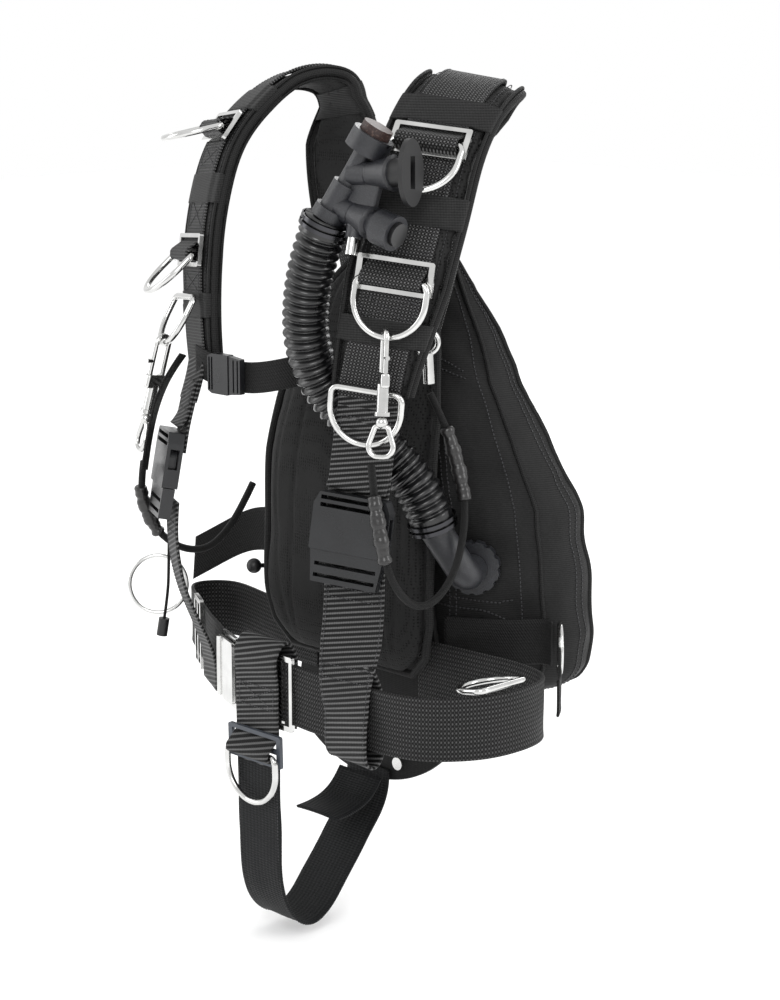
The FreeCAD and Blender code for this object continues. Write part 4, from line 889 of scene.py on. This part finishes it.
def back_pad():
    """Thick back pad: swelled shell with a sewn middle channel and two side ridges on its front."""
    along = np.linspace(1 * MM, pad_course.length - 1 * MM, 70)
    half_at = np.interp(along, pad_course.knots, [row[2] for row in BACK_PAD_ROWS])
    thick_at = np.interp(along, pad_course.knots, [row[3] for row in BACK_PAD_ROWS])
    p, across, back, out = pad_course.frame(along)
    rings = []
    for i in range(len(along)):
        half, thick = half_at[i] - 3.0, thick_at[i] - 3.0
        ring = []
        for a in np.linspace(0, 2 * math.pi, 44, endpoint=False):
            c, d = math.cos(a), math.sin(a)
            x = half * math.copysign(abs(c) ** 0.45, c)
            h = -thick / 2 - 1.5 + thick / 2 * math.copysign(abs(d) ** 0.55, d)
            ring.append(p[i] + across[i] * x * MM + out[i] * h * MM)
        rings.append(ring)
    obj = loft("back_pad_cover", rings)
    puff(obj, voxel=5.0, pressure=4.0, cap=2.6, relax=3)

    def sewn(co, no):
        if no[1] > -0.3:
            return 0.25 * MM * noise.noise(Vector(co) * 40)
        x, z = abs(co[0] / MM - PAD_CENTRE), co[2] / MM
        fade = 1.0 if z > -440 else 0.4
        ridge = math.exp(-((x - 48 - 6 * math.sin(z / 90)) / 2.0) ** 2) * 1.5
        middle = math.exp(-(x / 16.0) ** 4) * 1.8
        ring = math.exp(-((math.hypot(x, (z + 330) * 0.35) - 74) / 2.4) ** 2) * 1.1
        quilt = 0.6 * noise.noise(Vector(co) * 24)
        return -(fade * (ridge + middle + ring) - quilt) * MM
    dent(obj, sewn)
    return obj


dress(back_pad(), mesh_cloth, stands_for=["back_pad"])
along = np.linspace(4 * MM, pad_course.length - 2 * MM, 60)
half_at = np.interp(along, pad_course.knots, [row[2] for row in BACK_PAD_ROWS]) - 1.0
thick_at = np.interp(along, pad_course.knots, [row[3] for row in BACK_PAD_ROWS])
p, across, back, out = pad_course.frame(along)
left_rim = p + across * half_at[:, None] * MM - out * thick_at[:, None] * 0.5 * MM
right_rim = p - across * half_at[:, None] * MM - out * thick_at[:, None] * 0.5 * MM
dress(tube("back_pad_piping", np.concatenate([left_rim, right_rim[::-1]]), 3.4 * MM, sides=10), binding)

# ---------------------------------------------------------------- wing
WING_ROWS = [(-112, 22, 44), (-126, 40, 31), (-150, 60, 17), (-190, 90, 4), (-225, 111, -6), (-280, 143, -14),
             (-325, 164, -16), (-385, 171, -16), (-430, 174, -16), (-460, 172, -15), (-478, 158,
                                                                                      -14), (-490, 122,
                                                                                             -12), (-496,
                                                                                                    64, -6)]
WING_OUTLINE = [(0.0, 0.0), (0.49, 0.0), (0.87, 0.24), (0.97, 0.35), (1.0, 0.46), (0.96, 0.56), (0.84, 0.59),
                (0.5, 0.42), (0.2, 0.33)]


def wing_ring(height, inset=0.0, count=72):
    """Closed outline of the wing at a height, pulled in by a number of millimetres."""
    rows = WING_ROWS[::-1]
    half = float(np.interp(height, [r[0] for r in rows], [r[1] for r in rows]))
    front = float(np.interp(height, [r[0] for r in rows], [r[2] for r in rows]))
    right = [(x * half, front + y * half) for x, y in WING_OUTLINE]
    outline = np.array(right + [(-x, y) for x, y in right[:0:-1]] + right[:1], float)
    gaps = np.linalg.norm(np.diff(outline, axis=0), axis=1)
    knots = np.concatenate([[0], np.cumsum(gaps)])
    at = np.linspace(0, knots[-1], count, endpoint=False)
    ring = np.stack([np.interp(at, knots, outline[:, k]) for k in range(2)], 1)
    centre = ring.mean(0)
    ring += unit(centre - ring) * inset
    return [(x * MM, y * MM, height * MM) for x, y in ring]


def wing():
    """Air wing: swelled shell with soft folds, stronger towards its gusset."""
    heights = np.concatenate([np.linspace(-114, -150, 8), np.linspace(-156, -450, 44),
                              np.linspace(-456, -493, 9)])
    obj = loft("wing_cover", [wing_ring(h, 4.0) for h in heights])
    puff(obj, voxel=6.0, pressure=5.0, cap=5.0, relax=4)

    def creased(co, no):
        x, z = co[0] / MM, co[2] / MM
        side = min(1.0, max(0.0, (abs(x) - 60) / 60))
        folds = math.sin(z / 9.0 + 2.4 * noise.noise(Vector(co) * 12)) * (0.4 + 0.6 * side)
        soft = noise.noise(Vector((co[0] * 9, co[1] * 26, co[2] * 14)))
        fine = noise.noise(Vector((co[0] * 34, co[1] * 60, co[2] * 40)))
        return (0.9 * folds * side + 2.4 * soft + 1.4 * fine - 1.4) * MM
    dent(obj, creased)
    return obj


def on_cover(cover, line, lift=0.0):
    """Line moved onto a cover's surface; returns the points and the surface normals there."""
    points, normals = [], []
    for point in line:
        found, spot, normal, face = cover.closest_point_on_mesh(Vector(point))
        points.append(np.array(spot) + np.array(normal) * lift)
        normals.append(np.array(normal))
    return np.array(points), np.array(normals)


def wing_line(share, inset_front, low=-488, high=-128):
    """Line down one side of the wing, at a share of the half width and of the depth."""
    rows = WING_ROWS[::-1]
    line = []
    for z in np.linspace(high, low, 110):
        half = float(np.interp(z, [r[0] for r in rows], [r[1] for r in rows]))
        front = float(np.interp(z, [r[0] for r in rows], [r[2] for r in rows]))
        line.append((share * half * MM, (front + inset_front * half) * MM, z * MM))
    return line


wing_cover = wing()
wing_trim, wing_seams = [], []
for side in (1, -1):
    for share, deep, radius in ((0.88, 0.22, 2.0), (0.97, 0.55, 2.2)):
        line, normals = on_cover(wing_cover, wing_line(side * share, deep), 0.6 * MM)
        wing_trim.append(piping("wing_edge", line, radius))
    for share, deep in ((0.5, -0.05), (0.545, -0.05), (0.80, 0.15), (1.0, 0.38), (1.0, 0.43)):
        line, normals = on_cover(wing_cover, wing_line(side * share, deep), 0.3 * MM)
        wing_seams.append((line, normals))
for z in (-205, -212, -398, -406):
    half = float(np.interp(z, [r[0] for r in WING_ROWS[::-1]], [r[1] for r in WING_ROWS[::-1]]))
    front = float(np.interp(z, [r[0] for r in WING_ROWS[::-1]], [r[2] for r in WING_ROWS[::-1]]))
    across = [(x * half * MM, (front - 4) * MM, (z - 10 * x * x) * MM) for x in np.linspace(-0.86, 0.86, 120)]
    wing_seams.append(on_cover(wing_cover, across, 0.3 * MM))
wing_stitching = stitches("wing_stitching", wing_seams, pitch=3.4, radius=0.5)
dress(merge("wing_piping", wing_trim), binding)
dress(wing_stitching, thread)
dress(wing_cover, wing_cloth, stands_for=["wing_shell"])

# ---------------------------------------------------------------- corrugated hose
HOSE_POINTS = [(71, -137.5, -86.5), (60, -141, -113), (49, -140, -150), (44, -135, -186), (48, -121, -220),
               (68, -99, -252), (92, -81, -280), (107, -69, -306), (110.5, -61, -332)]
HOSE_RADIUS, RIB_PITCH = 18.4, 7.2
hose_line = corner_path(HOSE_POINTS, step=1.0)
gaps = np.linalg.norm(np.diff(hose_line, axis=0), axis=1)
hose_knots = np.concatenate([[0], np.cumsum(gaps)])
hose_length = float(hose_knots[-1])


def hose_at(along):
    """Point on the hose's middle line."""
    return np.array([np.interp(along, hose_knots, hose_line[:, k]) for k in range(3)])


def hose_radius(along):
    """Radius in metres: smooth cuffs at both ends and rounded ribs between them."""
    cuff = 13 * MM
    if along < cuff or along > hose_length - cuff:
        return (HOSE_RADIUS - 0.9) * MM
    phase = 2 * math.pi * (along - cuff) / (RIB_PITCH * MM)
    return (HOSE_RADIUS - 3.6 + 3.6 * (0.5 + 0.5 * math.cos(phase)) ** 0.6) * MM


stations = np.arange(0, hose_length, 0.55 * MM)
hose = tube("corrugated_hose_ribbed", [hose_at(s) for s in stations], [hose_radius(s) for s in stations],
            sides=40)
dress(hose, hose_mat, stands_for=["corrugated_hose"])
BAND_AT, CUFF_AT, CUFF_END = 118.0, 132.0, 160.0


def hose_wrap(name, start, end, radius):
    """Collar round the hose between two distances in millimetres; radius(along) is in millimetres."""
    line = np.arange(start, end, 0.7)
    outer = [radius(s) for s in line]
    path = [hose_at(start * MM)] + [hose_at(s * MM) for s in line] + [hose_at(end * MM)]
    return tube(name, path, np.array([HOSE_RADIUS - 1] + outer + [HOSE_RADIUS - 1]) * MM, sides=64)


dress(hose_wrap("hose_band", BAND_AT, CUFF_AT + 2, lambda s: HOSE_RADIUS + 1.4 - 0.5 * ((s - 126) / 8) ** 4),
      band_mat)
cuff = hose_wrap("hose_cuff", CUFF_AT, CUFF_END,
                 lambda s: HOSE_RADIUS + 2.6 + 0.5 * math.sin(s * 2.4) - 1.6 * max(0, (s - 152) / 8) ** 2)
dent(cuff, lambda co, no: 1.0 * MM * noise.noise(Vector(co) * 55))
dress(cuff, knit)

# ---------------------------------------------------------------- elastic cords with their sleeves
LEFT_BUNGEE = [(116, -136, -269), (122, -139, -292), (129, -141, -316), (133, -138, -343), (134, -126, -367),
               (135, -107, -383), (136, -86, -382), (137, -67, -364), (135, -54, -337), (128, -45, -309),
               (118, -42, -281), (109, -47, -253), (101, -57, -226)]
RIGHT_BUNGEE = [(-133, -154, -300), (-138, -154, -322), (-140, -148, -345), (-134, -138, -364),
                (-120, -126, -377),
                (-104, -112, -377), (-98, -96, -364), (-97, -80, -346), (-97, -66, -326)]
TOGGLE_CORD = [(-133, -129, -374), (-135, -128, -394), (-133, -131, -416), (-135, -134, -438)]


def cord_curve(name, route, diameter, material, node):
    """Cord on its route as a smooth curve that starts and ends at the first and last points."""
    data = bpy.data.curves.new(name, "CURVE")
    data.dimensions = "3D"
    data.resolution_u = 12
    data.bevel_depth = diameter / 2 * MM
    data.bevel_resolution = 5
    data.use_fill_caps = True
    spline = data.splines.new("NURBS")
    spline.points.add(len(route) - 1)
    for point, at in zip(spline.points, route):
        point.co = (*(c * MM for c in at), 1)
    spline.order_u = 3
    spline.use_endpoint_u = True
    obj = bpy.data.objects.new(name, data)
    bpy.context.scene.collection.objects.link(obj)
    return dress(obj, material, stands_for=[node])


def sleeve(name, route, stands_for=()):
    """Shrunk rubber sleeve over a cord and its knot, lumpy where it covers the doubled cord."""
    line = corner_path(route, step=1.0)
    share = np.linspace(0, 1, len(line))
    radius = 4.4 + 1.6 * np.sin(share * math.pi) ** 0.5
    radius += 0.55 * np.sin(share * 21) + 0.35 * np.sin(share * 47 + 1)
    obj = tube(name, line, np.clip(radius, 3.6, 6.3) * MM, sides=24)
    dent(obj, lambda co, no: 0.35 * MM * noise.noise(Vector(co) * 160))
    return dress(obj, sleeve_mat, stands_for=stands_for)


sleeve_front = sleeve("sleeve_front", LEFT_BUNGEE[1:4], ["bungee_sleeves"])
sleeve_rear = sleeve("sleeve_rear", LEFT_BUNGEE[9:12])
sleeve_right = sleeve("sleeve_right", RIGHT_BUNGEE[1:4])
left_cord = cord_curve("bungee_left_cord", LEFT_BUNGEE, 6.0, cord_mat, "bungee_left")
right_cord = cord_curve("bungee_right_cord", RIGHT_BUNGEE, 6.0, cord_mat, "bungee_right")
toggle = cord_curve("toggle_cord_line", TOGGLE_CORD, 2.6, cord_mat, "toggle_cord")

# ---------------------------------------------------------------- carried-over metal and plastic parts
SHARP_ANGLE = math.radians(35)
PAIRED_LOOKS = {
    steel: ["strap_slides", "ring_upper", "ring_lower", "pad_ring", "hip_ring", "snap_body", "snap_gate",
        "snap_eye"],
    buckle_mat: ["buckle_female", "buckle_male"],
}
LOOKS = {
    steel: ["crotch_ring", "wing_corner_ring", "rear_snap", "waist_buckle_frame", "waist_buckle_lever",
        "inflator_nipple", "plate_screws", "belt_keepers"],
    black_steel: ["hose_clamps"],
    slider_mat: ["crotch_slider"],
    button_mat: ["deflate_button"],
    casing_mat: ["inflator_body", "hose_elbow", "wing_flange", "dump_valve"],
    hose_mat: ["power_button"],
    soft_rubber: ["mouthpiece", "dump_pull", "toggle_knob"],
    cordura: ["lumbar_plate"],
    buckle_mat: ["chest_buckle_female", "chest_buckle_male"],
}
for look, stems in PAIRED_LOOKS.items():
    LOOKS.setdefault(look, []).extend(f"{stem}_{hand}" for stem in stems for hand in ("left", "right"))
for look, names in LOOKS.items():
    for name in names:
        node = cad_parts[name]
        node.data.materials.clear()
        node.data.materials.append(look)
        node.data.shade_smooth()
        node.data.set_sharp_from_angle(angle=SHARP_ANGLE)

# ---------------------------------------------------------------- webs and cone of the inflator's casing
def spot(a, b, share):
    """Point at a share of the run between two points in millimetres."""
    return np.array(a, float) + (np.array(b, float) - np.array(a, float)) * share


def web_plate(name, corners, thick):
    """Flat web of the casing between its arms, with its corners in millimetres."""
    corners = [np.array(c, float) for c in corners]
    way = unit(np.cross(corners[1] - corners[0], corners[-1] - corners[0])) * thick / 2
    verts = [(c + way) * MM for c in corners] + [(c - way) * MM for c in corners]
    n = len(corners)
    faces = [tuple(range(n)), tuple(range(2 * n - 1, n - 1, -1))]
    faces += [(i, n + i, n + (i + 1) % n, (i + 1) % n) for i in range(n)]
    obj = new_mesh(name, [tuple(v) for v in verts], faces, smooth=False)
    bevel = obj.modifiers.new("rounded", "BEVEL")
    bevel.width, bevel.segments = 1.2 * MM, 3
    settle(obj)
    fix_normals(obj)
    return obj


BARREL_TOP, BARREL_FOOT = (106, -117.5, -17), HOSE_POINTS[0]
MOUTH, POWER = (138, -118.5, -49.5), (134, -128, -94)
mouth_root, power_root = spot(BARREL_TOP, BARREL_FOOT, 0.52), spot(BARREL_TOP, BARREL_FOOT, 0.86)
webs = [web_plate("web", [mouth_root, spot(mouth_root, MOUTH, 0.58), spot(power_root, POWER, 0.62),
                          power_root], 6.0),
        web_plate("web", [spot(BARREL_TOP, BARREL_FOOT, 0.36), spot(mouth_root, MOUTH, 0.5), mouth_root],
                  6.0)]
cone_line = [spot(mouth_root, MOUTH, k) * MM for k in np.linspace(0.30, 0.74, 14)]
webs.append(tube("cone", cone_line, (9.1 + 4.6 * np.linspace(0, 1, 14) ** 1.6) * MM, sides=40))
ridge_line = [spot(power_root, POWER, k) * MM for k in np.linspace(0.30, 0.60, 10)]
webs.append(tube("cone", ridge_line, (9.2 + 3.4 * np.linspace(0, 1, 10) ** 1.4) * MM, sides=40))
dress(merge("inflator_webs", webs), casing_mat)

# ---------------------------------------------------------------- camera, floor and light
AIM = Vector((0, 0, -0.336))
AZIMUTH, ELEVATION, DISTANCE = math.radians(45), math.radians(12.6), 2.0
eye = AIM + DISTANCE * Vector((math.cos(ELEVATION) * math.sin(AZIMUTH),
                               -math.cos(ELEVATION) * math.cos(AZIMUTH), math.sin(ELEVATION)))
camera_data = bpy.data.cameras.new("camera")
camera_data.lens = 86.4
camera_data.sensor_fit = "AUTO"
camera_data.sensor_width = 36.0
camera = bpy.data.objects.new("camera", camera_data)
bpy.context.scene.collection.objects.link(camera)
camera.location = eye
camera.rotation_euler = (AIM - eye).to_track_quat("-Z", "Y").to_euler()
bpy.context.scene.camera = camera

floor = new_mesh("floor", [(-6, -6, -0.682), (6, -6, -0.682), (6, 6, -0.682), (-6, 6, -0.682)],
                 [(0, 1, 2, 3)])
paper = bpy.data.materials.new("paper")
paper.use_nodes = True
paper.node_tree.nodes["Principled BSDF"].inputs["Base Color"].default_value = (1, 1, 1, 1)
paper.node_tree.nodes["Principled BSDF"].inputs["Roughness"].default_value = 0.9
floor.data.materials.append(paper)


def softbox(name, at, size, power):
    """Area light that faces the middle of the vest."""
    data = bpy.data.lights.new(name, "AREA")
    data.shape = "RECTANGLE"
    data.size, data.size_y = size
    data.energy = power
    light = bpy.data.objects.new(name, data)
    bpy.context.scene.collection.objects.link(light)
    light.location = at
    light.rotation_euler = (AIM - Vector(at)).to_track_quat("-Z", "Y").to_euler()


softbox("key", (1.6, -2.2, 1.5), (1.2, 1.6), 36)
softbox("fill", (-1.8, -1.6, 0.5), (1.0, 1.8), 14)
softbox("rim_left", (2.2, 0.9, 0.8), (0.8, 1.8), 22)
softbox("rim_back", (-1.0, 2.2, 1.2), (1.4, 1.4), 20)
world = bpy.data.worlds.new("studio")
world.use_nodes = True
world.node_tree.nodes["Background"].inputs["Color"].default_value = (1, 1, 1, 1)
world.node_tree.nodes["Background"].inputs["Strength"].default_value = 1.0
bpy.context.scene.world = world
bpy.context.scene.view_settings.view_transform = "Standard"
